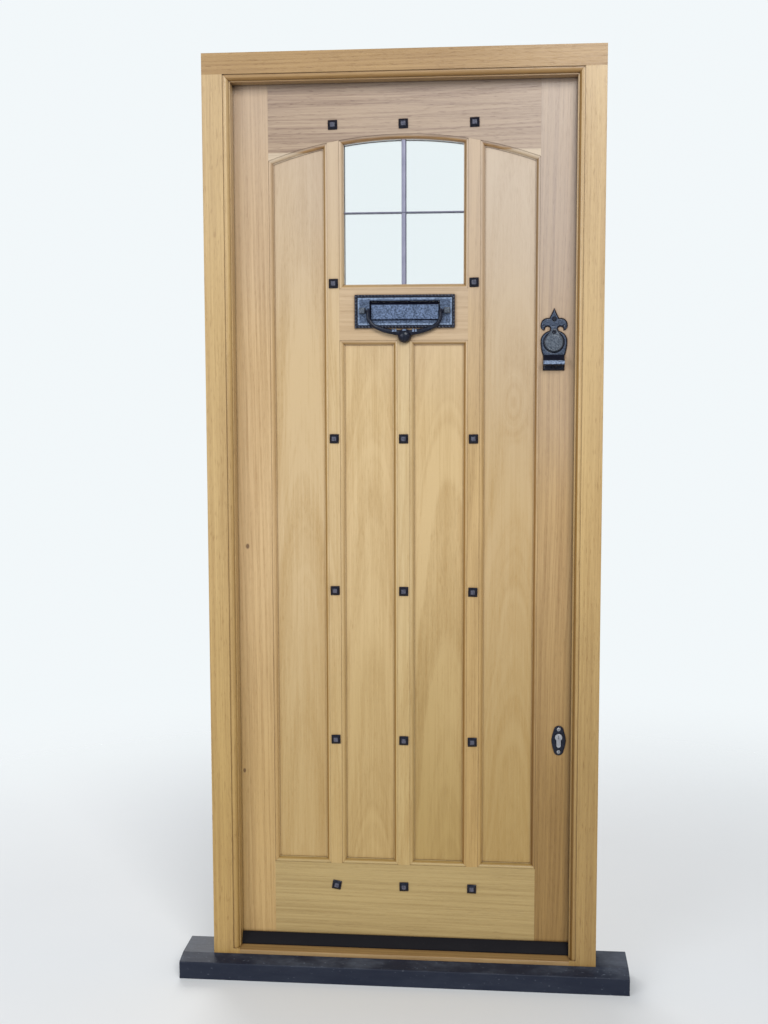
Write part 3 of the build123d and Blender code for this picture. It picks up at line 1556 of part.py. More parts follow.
def profile_ends():
    """Outer and inner faces of the profile cylinder."""
    reach = escutcheon_thick + profile_proud - profile_sunk
    return leaf_front - reach, leaf_back + reach


def profile_cylinder():
    """Body of the profile cylinder, cut away in the middle for the cam."""
    y0, y1 = profile_ends()
    body = profile_prism(y0, y1, 0.0)
    body = body - rod_y(lock_x, y0 - cut_past, y1 + cut_past, lock_z, profile_plug_radius + plug_fit)
    gap = cam_thick / 2 + slide_fit
    return body - block(lock_x - cam_room, lock_x + cam_room, leaf_mid - gap, leaf_mid + gap,
                        lock_z - cam_lever - cam_tip_room, lock_z + cam_room)


def profile_plug(which):
    """Turning plug at one end, with its keyway."""
    y0, y1 = profile_ends()
    gap = cam_thick / 2 + slide_fit
    if which == "outer":
        plug = rod_y(lock_x, y0, leaf_mid - gap, lock_z, profile_plug_radius)
        key0, key1 = y0 - cut_past, y0 + profile_keyway_depth
    else:
        plug = rod_y(lock_x, leaf_mid + gap, y1, lock_z, profile_plug_radius)
        key0, key1 = y1 - profile_keyway_depth, y1 + cut_past
    return plug - block(lock_x - profile_keyway_half_width, lock_x + profile_keyway_half_width,
                        key0, key1, lock_z - profile_keyway_low, lock_z + profile_keyway_high)


def lock_cam():
    """Cam between the plugs, its lever hanging in the lobe."""
    y0, y1 = leaf_mid - cam_thick / 2, leaf_mid + cam_thick / 2
    ring = rod_y(lock_x, y0, y1, lock_z, cam_radius)
    return ring + block(lock_x - cam_tip_half, lock_x + cam_tip_half, y0, y1,
                        lock_z - cam_lever + cam_tip_inset, lock_z)


def lock_case_box(grow):
    """Outer box of the mortice case, or its mortice."""
    half = lock_case_thick / 2 + grow
    low = lock_z - lock_case_below
    return block(leaf_half - lock_case_depth - grow, leaf_half - forend_thick,
                 leaf_mid - half, leaf_mid + half, low - grow, low + lock_case_height + grow)


def forend_middle():
    """Height of the middle of the lock's case and face plate."""
    return lock_z - lock_case_below + lock_case_height / 2


def forend(grow):
    """Face plate of the lock in the edge of the stile."""
    middle = forend_middle()
    half = forend_width / 2 + grow
    tall = forend_height / 2 + grow
    return block(leaf_half - forend_thick, leaf_half, leaf_mid - half, leaf_mid + half,
                 middle - tall, middle + tall)


def lock_mortice():
    """Room cut in the stile for the lock's case, face plate and screws."""
    half_y = lock_case_thick / 2 + lock_case_fit
    half_z = lock_case_height / 2 + lock_case_fit
    mouth = block(leaf_half - forend_thick - cut_past, leaf_half + cut_past, leaf_mid - half_y,
                  leaf_mid + half_y, forend_middle() - half_z, forend_middle() + half_z)
    cuts = lock_case_box(lock_case_fit) + forend(forend_fit) + mouth
    for place in forend_screw_places():
        cuts = cuts + screw_x(*place, screw_fit)
    return cuts


def forend_screw_places():
    """Screws through the lock's face plate."""
    rise = forend_height / 2 - forend_screw_inset
    return [(leaf_half, leaf_mid, forend_middle() + way * rise, -1) for way in (-1, 1)]


def deadlock_case():
    """Hollow mortice case and its face plate."""
    low = lock_z - lock_case_below
    inner_half = lock_case_thick / 2 - lock_case_wall
    body = lock_case_box(0.0)
    body = body - block(leaf_half - lock_case_depth + lock_case_wall,
                        leaf_half - forend_thick - lock_case_wall, leaf_mid - inner_half,
                        leaf_mid + inner_half, low + lock_case_wall,
                        low + lock_case_height - lock_case_wall)
    body = body + forend(0.0)
    body = body - profile_prism(leaf_mid - lock_way, leaf_mid + lock_way, profile_case_fit)
    half_y = deadbolt_thick / 2 + slide_fit
    half_z = deadbolt_height / 2 + slide_fit
    z = lock_z + deadbolt_above
    body = body - block(leaf_half - lock_way, leaf_half + cut_past, leaf_mid - half_y,
                        leaf_mid + half_y, z - half_z, z + half_z)
    return cut_all(body, [screw_x(*place, screw_fit) for place in forend_screw_places()])


def deadbolt():
    """Square deadbolt, drawn back flush with its face plate."""
    z = lock_z + deadbolt_above
    half_y = deadbolt_thick / 2
    half_z = deadbolt_height / 2
    return block(leaf_half - deadbolt_length, leaf_half, leaf_mid - half_y, leaf_mid + half_y,
                 z - half_z, z + half_z)


def strike_screw_places():
    """Screws of the strike plate into the jamb."""
    middle = lock_z + deadbolt_above
    return [(cheek, leaf_mid, middle + way * strike_screw_rise, 1) for way in (-1, 1)]


def strike_box(grow):
    """Outer form of the strike plate and its dust box in the jamb."""
    z = lock_z + deadbolt_above
    half_y = deadbolt_thick / 2 + strike_bolt_room + strike_wall + grow
    half_z = deadbolt_height / 2 + strike_bolt_room + strike_wall + grow
    wide = forend_width / 2 + grow
    tall = strike_half_height + grow
    plate = block(cheek, cheek + strike_thick + grow, leaf_mid - wide, leaf_mid + wide,
                  z - tall, z + tall)
    depth = deadbolt_throw + strike_box_past
    return plate + block(cheek, cheek + depth + grow, leaf_mid - half_y, leaf_mid + half_y,
                         z - half_z, z + half_z)


def strike_pocket():
    """Room cut in the jamb for the strike."""
    return strike_box(strike_fit)


def strike_plate():
    """Strike with its dust box, open to the bolt."""
    z = lock_z + deadbolt_above
    half_y = deadbolt_thick / 2 + strike_bolt_room
    half_z = deadbolt_height / 2 + strike_bolt_room
    body = strike_box(0.0) - block(cheek - cut_past, cheek + deadbolt_throw + strike_room_past,
                                   leaf_mid - half_y, leaf_mid + half_y, z - half_z, z + half_z)
    return cut_all(body, [screw_x(*place, screw_fit) for place in strike_screw_places()])


def escutcheon_centre():
    """Middle of the cylinder's face, on which the escutcheons are set."""
    return lock_z + profile_radius - profile_height / 2


def escutcheon_screw_places():
    """Screws of both escutcheons."""
    z = escutcheon_centre()
    places = []
    for y, way in ((leaf_front - escutcheon_thick, 1), (leaf_back + escutcheon_thick, -1)):
        for up in (-1, 1):
            places.append((lock_x, y, z + up * escutcheon_screw_span / 2, way))
    return places


def escutcheon_screw_holes():
    """Holes for the escutcheons' screws."""
    return [screw_y(*place, screw_fit, escutcheon_screw_length) for place in escutcheon_screw_places()]


def escutcheon(which):
    """Pointed oval plate round the cylinder, nicked beside its screws."""
    start = (escutcheon_width / 2, 0.0)
    quarter = make_face(traced(start, ((escutcheon_side, escutcheon_nick),
                                       (escutcheon_point, (0.0, escutcheon_height / 2)),
                                       ((0.0, 0.0),), (start,))))
    face = quarter + mirror(quarter, about=Plane.YZ)
    face = face + mirror(face, about=Plane.XZ)
    y0, y1 = ((leaf_front - escutcheon_thick, leaf_front) if which == "outer"
              else (leaf_back, leaf_back + escutcheon_thick))
    way = -1 if which == "outer" else 1
    body = eased_slab(Pos(lock_x, escutcheon_centre()) * face, y0, y1, escutcheon_arris, way)
    body = body - profile_prism(y0 - cut_past, y1 + cut_past, profile_plate_fit)
    pick = escutcheon_screw_holes()[:2] if which == "outer" else escutcheon_screw_holes()[2:]
    return cut_all(body, pick)


def parts():
    """Every piece by its name."""
    return {
        "sub_sill": sub_sill(),
        "oak_sill": oak_sill(),
        "hinge_jamb": hinge_jamb(),
        "lock_jamb": lock_jamb(),
        "frame_head": frame_head(),
        "frame_seals": frame_seals(),
        "threshold_bar": threshold_bar(),
        "threshold_seal": threshold_seal(),
        "hinge_stile": hinge_stile(),
        "lock_stile": lock_stile(),
        "top_rail": top_rail(),
        "mid_rail": mid_rail(),
        "bottom_rail": bottom_rail(),
        "left_muntin": tall_muntin(-1),
        "right_muntin": tall_muntin(1),
        "centre_muntin": centre_muntin(),
        "left_tall_panel": panel(tall_bay(-1, groove_depth - panel_edge_gap)),
        "right_tall_panel": panel(tall_bay(1, groove_depth - panel_edge_gap)),
        "left_low_panel": panel(low_bay(-1, groove_depth - panel_edge_gap)),
        "right_low_panel": panel(low_bay(1, groove_depth - panel_edge_gap)),
        "outer_glass": outer_glass(),
        "inner_glass": inner_glass(),
        "glass_spacer": glass_spacer(),
        "lead_cross": lead_cross(),
        "glazing_beads": glazing_beads(),
        "studs": studs(),
        "letter_plate": letter_plate(),
        "letter_flap": letter_flap(),
        "letter_bolts": letter_bolts(),
        "knocker": knocker(),
        "pull_plate": pull_plate(),
        "pull_rivets": pull_rivets(),
        "cover_rivet": cover_rivet(),
        "keyhole_cover": keyhole_cover(),
        "rim_cylinder": rim_cylinder(),
        "rim_plug": rim_plug(),
        "latch_plate": latch_plate(),
        "latch_case": latch_case(),
        "latch_bolt": latch_bolt(),
        "latch_knob": latch_knob(),
        "latch_snib": latch_snib(),
        "latch_keep": latch_keep(),
        "profile_cylinder": profile_cylinder(),
        "outer_plug": profile_plug("outer"),
        "inner_plug": profile_plug("inner"),
        "lock_cam": lock_cam(),
        "deadlock_case": deadlock_case(),
        "deadbolt": deadbolt(),
        "strike_plate": strike_plate(),
        "outer_escutcheon": escutcheon("outer"),
        "inner_escutcheon": escutcheon("inner"),
        "hinge_frame_leaves": hinge_halves("frame"),
        "hinge_door_leaves": hinge_halves("leaf"),
        "hinge_pins": hinge_pins(),
        "frame_screws": frame_screws(),
        "leaf_screws": leaf_screws(),
    }


os.makedirs("parts", exist_ok=True)
for name, shape in parts().items():
    export_step(shape, f"parts/{name}.step")
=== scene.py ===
import logging
import math
from dataclasses import dataclass, field
from enum import Enum
from typing import Callable

import bmesh
import bpy
from mathutils import Matrix, Vector, geometry, noise


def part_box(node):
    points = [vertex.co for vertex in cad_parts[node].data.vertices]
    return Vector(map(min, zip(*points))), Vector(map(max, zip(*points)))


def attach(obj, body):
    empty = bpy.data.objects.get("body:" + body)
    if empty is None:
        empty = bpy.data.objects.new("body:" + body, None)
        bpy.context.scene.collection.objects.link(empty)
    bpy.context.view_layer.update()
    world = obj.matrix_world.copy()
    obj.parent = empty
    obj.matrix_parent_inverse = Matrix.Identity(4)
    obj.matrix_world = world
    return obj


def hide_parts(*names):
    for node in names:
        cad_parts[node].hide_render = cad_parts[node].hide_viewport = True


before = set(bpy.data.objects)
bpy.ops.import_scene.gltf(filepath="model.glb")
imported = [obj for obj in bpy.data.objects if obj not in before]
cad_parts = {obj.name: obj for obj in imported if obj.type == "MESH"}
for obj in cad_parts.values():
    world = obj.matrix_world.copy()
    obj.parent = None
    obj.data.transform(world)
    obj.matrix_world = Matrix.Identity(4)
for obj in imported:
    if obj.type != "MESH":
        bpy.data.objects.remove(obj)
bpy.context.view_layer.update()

logging.basicConfig(level=logging.INFO, format="%(message)s")
log = logging.getLogger("oak_door")

MM = 0.001
EDGE_SAMPLES = 4
Colour = tuple[float, float, float]
Point = tuple[float, float]


class Grain(Enum):
    """Which way a board's grain runs on the door."""

    UPRIGHT = "upright"
    LEVEL = "level"


class Body(Enum):
    """Moving bodies of the door that visual pieces ride on."""

    FRAME = "frame"
    LEAF = "leaf"
    FLAP = "letter_flap"
    KNOCKER = "knocker"
    COVER = "keyhole_cover"
    KNOB = "latch_knob"


class Slot(Enum):
    """Names of material slots of the record."""

    IRON = "black_iron"
    LEAD = "lead"
    STEEL = "steel"
    ENAMEL = "latch_enamel"


class Blend(Enum):
    """How two tones are laid over each other."""

    MIX = "MIX"
    MULTIPLY = "MULTIPLY"


class NodeWork:
    """A node tree while it is being built: it adds nodes, fills their inputs and joins them."""

    def __init__(self, tree: bpy.types.NodeTree) -> None:
        """Takes the tree to build in."""
        self.tree = tree

    def fill(self, socket: bpy.types.NodeSocket, value: object) -> None:
        """Joins a socket to another one, or writes a constant into it.

        Args:
            socket: the input to fill.
            value: an output socket, a number, a colour or a vector.
        """
        if isinstance(value, bpy.types.NodeSocket):
            self.tree.links.new(value, socket)
            return
        if isinstance(value, tuple) and len(value) == 3 and socket.type == "RGBA":
            value = (*value, 1.0)
        socket.default_value = value

    def add(self, kind: str, settings: dict[str, object] | None = None,
            inputs: dict[object, object] | None = None) -> bpy.types.Node:
        """Adds one node.

        Args:
            kind: the node's type.
            settings: properties of the node.
            inputs: its inputs by name or number.

        Returns:
            The new node.
        """
        node = self.tree.nodes.new(kind)
        for key, value in (settings or {}).items():
            setattr(node, key, value)
        for key, value in (inputs or {}).items():
            self.fill(node.inputs[key], value)
        return node

    def math(self, operation: str, first: object, second: object = 0.0, third: object = 0.0,
             clamp: bool = False) -> bpy.types.NodeSocket:
        """Works out one number from up to three others.

        Args:
            operation: the name of the sum.
            first: first value.
            second: second value.
            third: third value, for the sums that take one.
            clamp: whether the result stays between 0 and 1.

        Returns:
            The result's socket.
        """
        return self.add("ShaderNodeMath", {"operation": operation, "use_clamp": clamp},
                        {0: first, 1: second, 2: third}).outputs[0]

    def spread(self, value: object, low: object, high: object, to_low: object = 0.0,
               to_high: object = 1.0) -> bpy.types.NodeSocket:
        """Maps one range of a value smoothly to another.

        Args:
            value: the value's socket.
            low: where it starts.
            high: where it ends.
            to_low: what the start becomes.
            to_high: what the end becomes.

        Returns:
            The mapped value's socket.
        """
        node = self.add("ShaderNodeMapRange", {"interpolation_type": "SMOOTHSTEP"},
                        {"Value": value, "From Min": low, "From Max": high, "To Min": to_low,
                         "To Max": to_high})
        return node.outputs["Result"]

    def vector(self, x: object, y: object, z: object) -> bpy.types.NodeSocket:
        """Three numbers as one vector."""
        return self.add("ShaderNodeCombineXYZ", {}, {0: x, 1: y, 2: z}).outputs[0]


class Shader(NodeWork):
    """A material while it is being built."""

    def __init__(self, name: str) -> None:
        """Starts an empty material."""
        self.material = bpy.data.materials.new(name)
        self.material.use_nodes = True
        super().__init__(self.material.node_tree)
        self.tree.nodes.clear()

    def mix(self, amount: object, first: object, second: object,
            blend: Blend = Blend.MIX) -> bpy.types.NodeSocket:
        """Mixes two colours.

        Args:
            amount: share of the second colour.
            first: first colour.
            second: second colour.
            blend: how they are laid over each other.

        Returns:
            The mixed colour's socket.
        """
        return self.add("ShaderNodeMix", {"data_type": "RGBA", "blend_type": blend.value},
                        {"Factor": amount, 6: first, 7: second}).outputs[2]

    def axes(self, vector: bpy.types.NodeSocket) -> bpy.types.NodeOutputs:
        """A vector's three numbers."""
        return self.add("ShaderNodeSeparateXYZ", {}, {0: vector}).outputs

    def place(self, offset: Vector | tuple = (0, 0, 0), turn: tuple = (0, 0, 0),
              stretch: tuple = (1, 1, 1)) -> bpy.types.NodeSocket:
        """Object coordinates, moved, turned and stretched for a pattern.

        Args:
            offset: how far the pattern moves.
            turn: how it turns, in radians.
            stretch: how many pattern units one metre makes, by axis.

        Returns:
            The coordinate's socket.
        """
        coordinate = self.add("ShaderNodeTexCoord").outputs["Object"]
        return self.add("ShaderNodeMapping", {"vector_type": "POINT"},
                        {"Vector": coordinate, "Location": tuple(offset), "Rotation": turn,
                         "Scale": stretch}).outputs[0]

    def squares(self, first: object, second: object) -> bpy.types.NodeSocket:
        """The sum of two numbers' squares."""
        return self.math("ADD", self.math("MULTIPLY", first, first), self.math("MULTIPLY", second, second))

    def stretched(self, vector: bpy.types.NodeSocket, stretch: tuple) -> bpy.types.NodeSocket:
        """A coordinate multiplied by axis."""
        return self.add("ShaderNodeVectorMath", {"operation": "MULTIPLY"},
                        {0: vector, 1: stretch}).outputs[0]

    def noise(self, vector: bpy.types.NodeSocket, scale: float = 1.0, detail: float = 2.0,
              rough: float = 0.5) -> bpy.types.NodeSocket:
        """Cloudy noise as a number round 0.5."""
        return self.add("ShaderNodeTexNoise", {}, {
            "Vector": vector, "Scale": scale, "Detail": detail, "Roughness": rough}).outputs[0]

    def cloud(self, stretch: tuple, detail: float = 3.0, rough: float = 0.5) -> bpy.types.NodeSocket:
        """Cloudy noise over the whole door, in pattern units a metre by axis."""
        return self.noise(self.place(stretch=stretch), detail=detail, rough=rough)

    def finish(self, base: object, rough: object, height: object, relief: float, soft_edge: float = 0.0,
               **sockets: object) -> bpy.types.Material:
        """Ends the material in one surface shader.

        Args:
            base: the colour.
            rough: the roughness.
            height: the bump's height.
            relief: how deep the bump is, in metres.
            soft_edge: radius to which sharp arrises look eased, in metres.
            **sockets: further inputs of the shader, with _ for a space.

        Returns:
            The finished material.
        """
        bump = self.add("ShaderNodeBump", {}, {"Height": height, "Distance": relief, "Strength": 1.0})
        if soft_edge:
            eased = self.add("ShaderNodeBevel", {"samples": EDGE_SAMPLES}, {"Radius": soft_edge})
            self.fill(bump.inputs["Normal"], eased.outputs[0])
        named = {key.replace("_", " "): value for key, value in sockets.items()}
        surface = self.add("ShaderNodeBsdfPrincipled", {}, {
            "Base Color": base, "Roughness": rough, "Normal": bump.outputs[0], **named})
        self.add("ShaderNodeOutputMaterial", {}, {"Surface": surface.outputs[0]})
        return self.material


@dataclass(frozen=True)
class OakBoard:
    """Varnished oak as one board shows it: its own tree, cut and tone."""

    name: str
    grain: Grain
    pale: Colour = (0.66, 0.475, 0.245)
    dark: Colour = (0.44, 0.285, 0.115)
    # Painted reflection: tone, share and heights of the pale sheen painted high up and towards the lock side.
    painted_sheen: Colour = (0.60, 0.51, 0.44)
    painted_sheen_share: float = 0.75
    painted_sheen_from: float = 1.25
    painted_sheen_to: float = 2.0
    painted_sheen_lean: float = 0.45
    low_tone: Colour = (0.80, 0.755, 0.585)
    low_from: float = 1.15
    low_to: float = 0.30
    # Tints of the mouldings: the first is partly stain and partly painted shade, the second painted shade on
    # faces turned to -X.
    moulding_stain_and_shade: Colour = (0.80, 0.71, 0.50)
    painted_side_shade: Colour = (0.76, 0.68, 0.52)
    heart_across: float = 0.0
    heart_depth: float = 0.045
    heart_lean: float = 0.016
    heart_wander: float = 0.005
    ring_width: float = 0.0030
    ring_share: float = 0.30
    streaks: tuple = (((45.0, 45.0, 0.8), 4.0, 0.65, 1.5), ((170.0, 170.0, 2.6), 2.0, 0.6, 1.2),
                      ((430.0, 430.0, 8.0), 2.0, 0.6, 1.3))
    streak_share: float = 0.70
    fleck_share: float = 0.22
    pore_share: float = 0.28
    cloud_share: float = 0.75
    sway: float = 0.006
    slip: float = 0.0
    eye: tuple = ()
    eye_shift: float = 0.016
    eye_share: float = 0.30
    knots: tuple = ()
    knot_tone: Colour = (0.10, 0.045, 0.018)
    pale_below: float = 0.0
    glue_tone: Colour = (0.70, 0.58, 0.42)
    # Reach and darkest share of the painted shade that ambient occlusion lays in quirks and corners.
    painted_shade_reach: float = 0.008
    painted_shade_floor: float = 0.22
    rough: float = 0.38
    relief: float = 0.00025
    arris: float = 0.0007
    varnish: float = 0.28

    def material(self) -> bpy.types.Material:
        """Builds the board's material.

        Returns:
            The material.
        """
        shader = Shader("oak_" + self.name)
        turn = (0.0, math.radians(-90.0), 0.0) if self.grain is Grain.LEVEL else (0.0, 0.0, 0.0)
        place = shader.place((0.0, 0.0, self.slip), turn)
        here = shader.axes(shader.place())
        tone, fibre, pore = self.figure(shader, place, here)
        colour = shader.mix(tone, self.pale, self.dark)
        colour = self.painted_sheen_and_low_tone(shader, colour, here)
        colour = self.details(shader, colour, here)
        # Painted shade: ambient occlusion darkens the wood, warmer in tone, in quirks, corners and recesses
        # where shade falls.
        occlusion = shader.add("ShaderNodeAmbientOcclusion", {"samples": EDGE_SAMPLES, "only_local": False},
                            {"Distance": self.painted_shade_reach}).outputs["AO"]
        painted_shade = shader.spread(occlusion, 0.20, 0.90, self.painted_shade_floor, 1.0)
        painted_shade_tint = shader.vector(painted_shade, shader.math("POWER", painted_shade, 1.25), shader.math("POWER", painted_shade, 1.5))
        colour = shader.mix(1.0, colour, painted_shade_tint, Blend.MULTIPLY)
        rough = shader.math("MULTIPLY_ADD", pore, 0.22, self.rough)
        height = shader.math("MULTIPLY_ADD", fibre, 0.5, shader.math("MULTIPLY", pore, -0.6))
        return shader.finish(colour, rough, height, self.relief, self.arris, Coat_Weight=self.varnish,
                             Coat_Roughness=0.20, Specular_IOR_Level=0.4)

    def figure(self, shader: Shader, place: bpy.types.NodeSocket, here: bpy.types.NodeOutputs) -> tuple:
        """The board's growth rings, fibres and pores.

        Args:
            shader: the material being built.
            place: coordinates with the grain along Z.
            here: the door's own coordinates, one output for each axis.

        Returns:
            The tone, the fibre height and the pores, as sockets.
        """
        sway = shader.add("ShaderNodeTexNoise", {}, {
            "Vector": shader.stretched(place, (4.0, 4.0, 1.3)), "Scale": 1.0, "Detail": 3.0}).outputs[1]
        sway = shader.add("ShaderNodeVectorMath", {"operation": "MULTIPLY_ADD"}, {
            0: sway, 1: (self.sway, self.sway, 0.0), 2: (-self.sway / 2, -self.sway / 2, 0.0)}).outputs[0]
        bent = shader.add("ShaderNodeVectorMath", {"operation": "ADD"}, {0: place, 1: sway}).outputs[0]
        x, y, along = shader.axes(bent)
        across = shader.math("SUBTRACT", x, self.heart_across)
        wander = shader.add("ShaderNodeTexNoise", {"noise_dimensions": "1D"}, {
            "W": along, "Scale": 1.4, "Detail": 1.0}).outputs[0]
        depth = shader.math("MULTIPLY_ADD", along, self.heart_lean, y)
        depth = shader.math("MULTIPLY_ADD", wander, 2.0 * self.heart_wander, depth)
        depth = shader.math("ADD", depth, self.heart_depth - self.heart_wander)
        swirl = self.blob(shader, here, *self.eye) if self.eye else 0.0
        reach = shader.math("SQRT", shader.squares(across, depth))
        reach = shader.math("MULTIPLY_ADD", swirl, self.eye_shift, reach)
        ring = shader.math("DIVIDE", reach, self.ring_width)
        rings = shader.add("ShaderNodeTexNoise", {"noise_dimensions": "1D"}, {
            "W": ring, "Scale": 0.55, "Detail": 3.0, "Roughness": 0.65}).outputs[0]
        rings = shader.spread(rings, 0.34, 0.66)
        fleck = shader.noise(shader.stretched(bent, (330.0, 330.0, 40.0)), detail=1.0)
        fleck = shader.spread(fleck, 0.60, 0.74)
        pore = shader.noise(shader.stretched(bent, (1500.0, 1500.0, 45.0)), detail=1.0)
        pore = shader.math("MULTIPLY", shader.spread(pore, 0.56, 0.70),
                           shader.math("MULTIPLY_ADD", rings, 0.7, 0.3))
        cloud = shader.noise(shader.stretched(place, (9.0, 9.0, 1.9)), detail=3.0)
        tone = shader.math("MULTIPLY_ADD", rings, self.ring_share, 0.27 - 0.45 * self.ring_share)
        for stretch, detail, rough, share in self.streaks:
            fibre = shader.noise(shader.stretched(bent, stretch), detail=detail, rough=rough)
            tone = shader.math("MULTIPLY_ADD", shader.math("SUBTRACT", fibre, 0.5),
                               share * self.streak_share, tone)
        for layer, share in ((swirl, self.eye_share), (fleck, self.fleck_share), (pore, self.pore_share)):
            tone = shader.math("MULTIPLY_ADD", layer, share, tone)
        tone = shader.math("MULTIPLY_ADD", shader.math("SUBTRACT", cloud, 0.5), self.cloud_share, tone,
                           clamp=True)
        return tone, fibre, pore

    @staticmethod
    def blob(shader: Shader, here: bpy.types.NodeOutputs, x: float, z: float, wide: float,
             tall: float) -> bpy.types.NodeSocket:
        """A soft oval on the door's face, 1 in its middle and 0 outside.

        Args:
            shader: the material being built.
            here: the door's coordinates.
            x: its middle, in metres.
            z: its middle, in metres.
            wide: half its width.
            tall: half its height.

        Returns:
            The oval's strength.
        """
        across = shader.math("MULTIPLY_ADD", here[0], 1 / wide, -x / wide)
        up = shader.math("MULTIPLY_ADD", here[2], 1 / tall, -z / tall)
        return shader.math("EXPONENT", shader.math("MULTIPLY", shader.squares(across, up), -1.0))

    def details(self, shader: Shader, colour: bpy.types.NodeSocket,
                here: bpy.types.NodeOutputs) -> bpy.types.NodeSocket:
        """Mouldings tinted darker, partly as stain and partly as painted shade: faces turned to -X get a
        further painted shade and faces turned to +X stay lighter, as if lit from the right; also knots, and
        the paler wood under the glue line.

        Args:
            shader: the material being built.
            colour: the wood's colour.
            here: the door's coordinates.

        Returns:
            The colour with these.
        """
        normal = shader.axes(shader.add("ShaderNodeTexCoord").outputs["Normal"])
        facing = shader.math("ABSOLUTE", normal[1])
        # Painted shade: faces not square to the front are tinted darker, most on faces turned to -X, less on
        # faces turned to +X, as light from the right would leave them.
        cut = shader.math("MULTIPLY", shader.spread(facing, 0.80, 0.98, 1.0, 0.0),
                          shader.spread(facing, 0.04, 0.16))
        for tone, share in ((self.moulding_stain_and_shade, shader.spread(normal[0], 0.1, 0.6, 1.0, 0.15)),
                            (self.painted_side_shade, shader.spread(normal[0], -0.6, -0.1, 1.0, 0.0))):
            tinted = shader.math("MULTIPLY", cut, share)
            colour = shader.mix(tinted, colour, shader.mix(1.0, colour, tone, Blend.MULTIPLY))
        for knot in self.knots:
            spot = shader.spread(self.blob(shader, here, *knot), 0.35, 0.8, 0.0, 0.8)
            colour = shader.mix(spot, colour, self.knot_tone)
        if self.pale_below:
            line = self.pale_below
            wide = shader.spread(shader.math("ABSOLUTE", here[0]), 0.188, 0.194)
            low = shader.spread(here[2], line - 0.002, line + 0.002, 1.0, 0.0)
            pale = shader.math("MULTIPLY", shader.math("MULTIPLY", wide, low), 0.55)
            colour = shader.mix(pale, colour, self.glue_tone)
        return colour

    def painted_sheen_and_low_tone(self, shader: Shader, colour: bpy.types.NodeSocket,
                here: bpy.types.NodeOutputs) -> bpy.types.NodeSocket:
        """Painted sheen high up, strongest on the lock side: the colour is mixed towards a pale grey that
        stands in for the varnish's reflection of a bright sky; richer and darker near the sill.

        Args:
            shader: the material being built.
            colour: the wood's colour.
            here: the door's coordinates.

        Returns:
            The colour with the painted sheen and the low tone.
        """
        drift = shader.cloud((3.0, 3.0, 2.0), 2.0)
        height = shader.math("MULTIPLY_ADD", shader.math("SUBTRACT", drift, 0.5), 0.35, here[2])
        leaned = shader.math("MULTIPLY_ADD", here[0], self.painted_sheen_lean, height)
        # Painted reflection: the wood is mixed towards the pale sheen tone high up.
        high = shader.spread(leaned, self.painted_sheen_from, self.painted_sheen_to, 0.0, self.painted_sheen_share)
        colour = shader.mix(high, colour, shader.mix(0.35, self.painted_sheen, colour))
        low = shader.spread(height, self.low_to, self.low_from, 1.0, 0.0)
        return shader.mix(low, colour, shader.mix(1.0, colour, self.low_tone, Blend.MULTIPLY))


@dataclass(frozen=True)
class HammeredIron:
    """Cast iron with a hammered face under black paint; its light high tone is a painted highlight and sheen
    on the hammer ridges, over the near-black deep tone in the dimples.
    """

    name: str
    high: Colour = (0.150, 0.205, 0.335)
    deep: Colour = (0.012, 0.018, 0.036)
    rough: float = 0.46
    dimple: float = 0.0030
    relief: float = 0.0007
    patch: tuple = (0.12, 0.62)
    gloss: float = 0.42
    veil: Colour = (0.55, 0.75, 1.0)
    coat: float = 0.22

    def material(self) -> bpy.types.Material:
        """Builds the iron's material.

        Returns:
            The material.
        """
        shader = Shader("iron_" + self.name)
        place = shader.place(stretch=(1 / self.dimple,) * 3)
        warp = shader.noise(place, 0.6, 2.0)
        dimples = shader.add("ShaderNodeTexVoronoi", {"feature": "SMOOTH_F1"}, {
            "Vector": place, "Scale": 1.0, "Smoothness": 0.7}).outputs["Distance"]
        hills = shader.math("MULTIPLY_ADD", warp, 0.6, dimples)
        fine = shader.noise(place, 3.0, 3.0, 0.6)
        hills = shader.math("MULTIPLY_ADD", fine, 0.22, hills)
        # Painted highlight: the ridges of the hammering take the light high tone and the dimples the deep
        # tone, as light would fall on them.
        tone = shader.spread(hills, 0.45, 1.15)
        chip = shader.spread(shader.noise(place, 0.35, 4.0, 0.7), *self.patch)
        colour = shader.mix(shader.math("MULTIPLY", tone, chip), self.deep, self.high)
        rough = shader.math("MULTIPLY_ADD", fine, 0.25, self.rough - 0.1)
        return shader.finish(colour, rough, hills, self.relief, 0.0005, Specular_IOR_Level=self.gloss,
                             Specular_Tint=self.veil, Coat_Weight=self.coat, Coat_Roughness=0.16)


@dataclass(frozen=True)
class SatinMetal:
    """Drawn or turned bare metal with fine brushing."""

    name: str
    pale: Colour = (0.60, 0.60, 0.62)
    dark: Colour = (0.42, 0.42, 0.44)
    rough: float = 0.32
    brush: tuple = (900.0, 60.0, 900.0)

    def material(self) -> bpy.types.Material:
        """Builds the metal's material.

        Returns:
            The material.
        """
        shader = Shader("metal_" + self.name)
        lines = shader.cloud(self.brush)
        marks = shader.spread(shader.cloud((70.0, 70.0, 70.0)), 0.35, 0.7)
        colour = shader.mix(marks, self.pale, self.dark)
        rough = shader.math("MULTIPLY_ADD", lines, 0.2, self.rough - 0.1)
        return shader.finish(colour, rough, lines, 0.00004, 0.0003, Metallic=1.0)


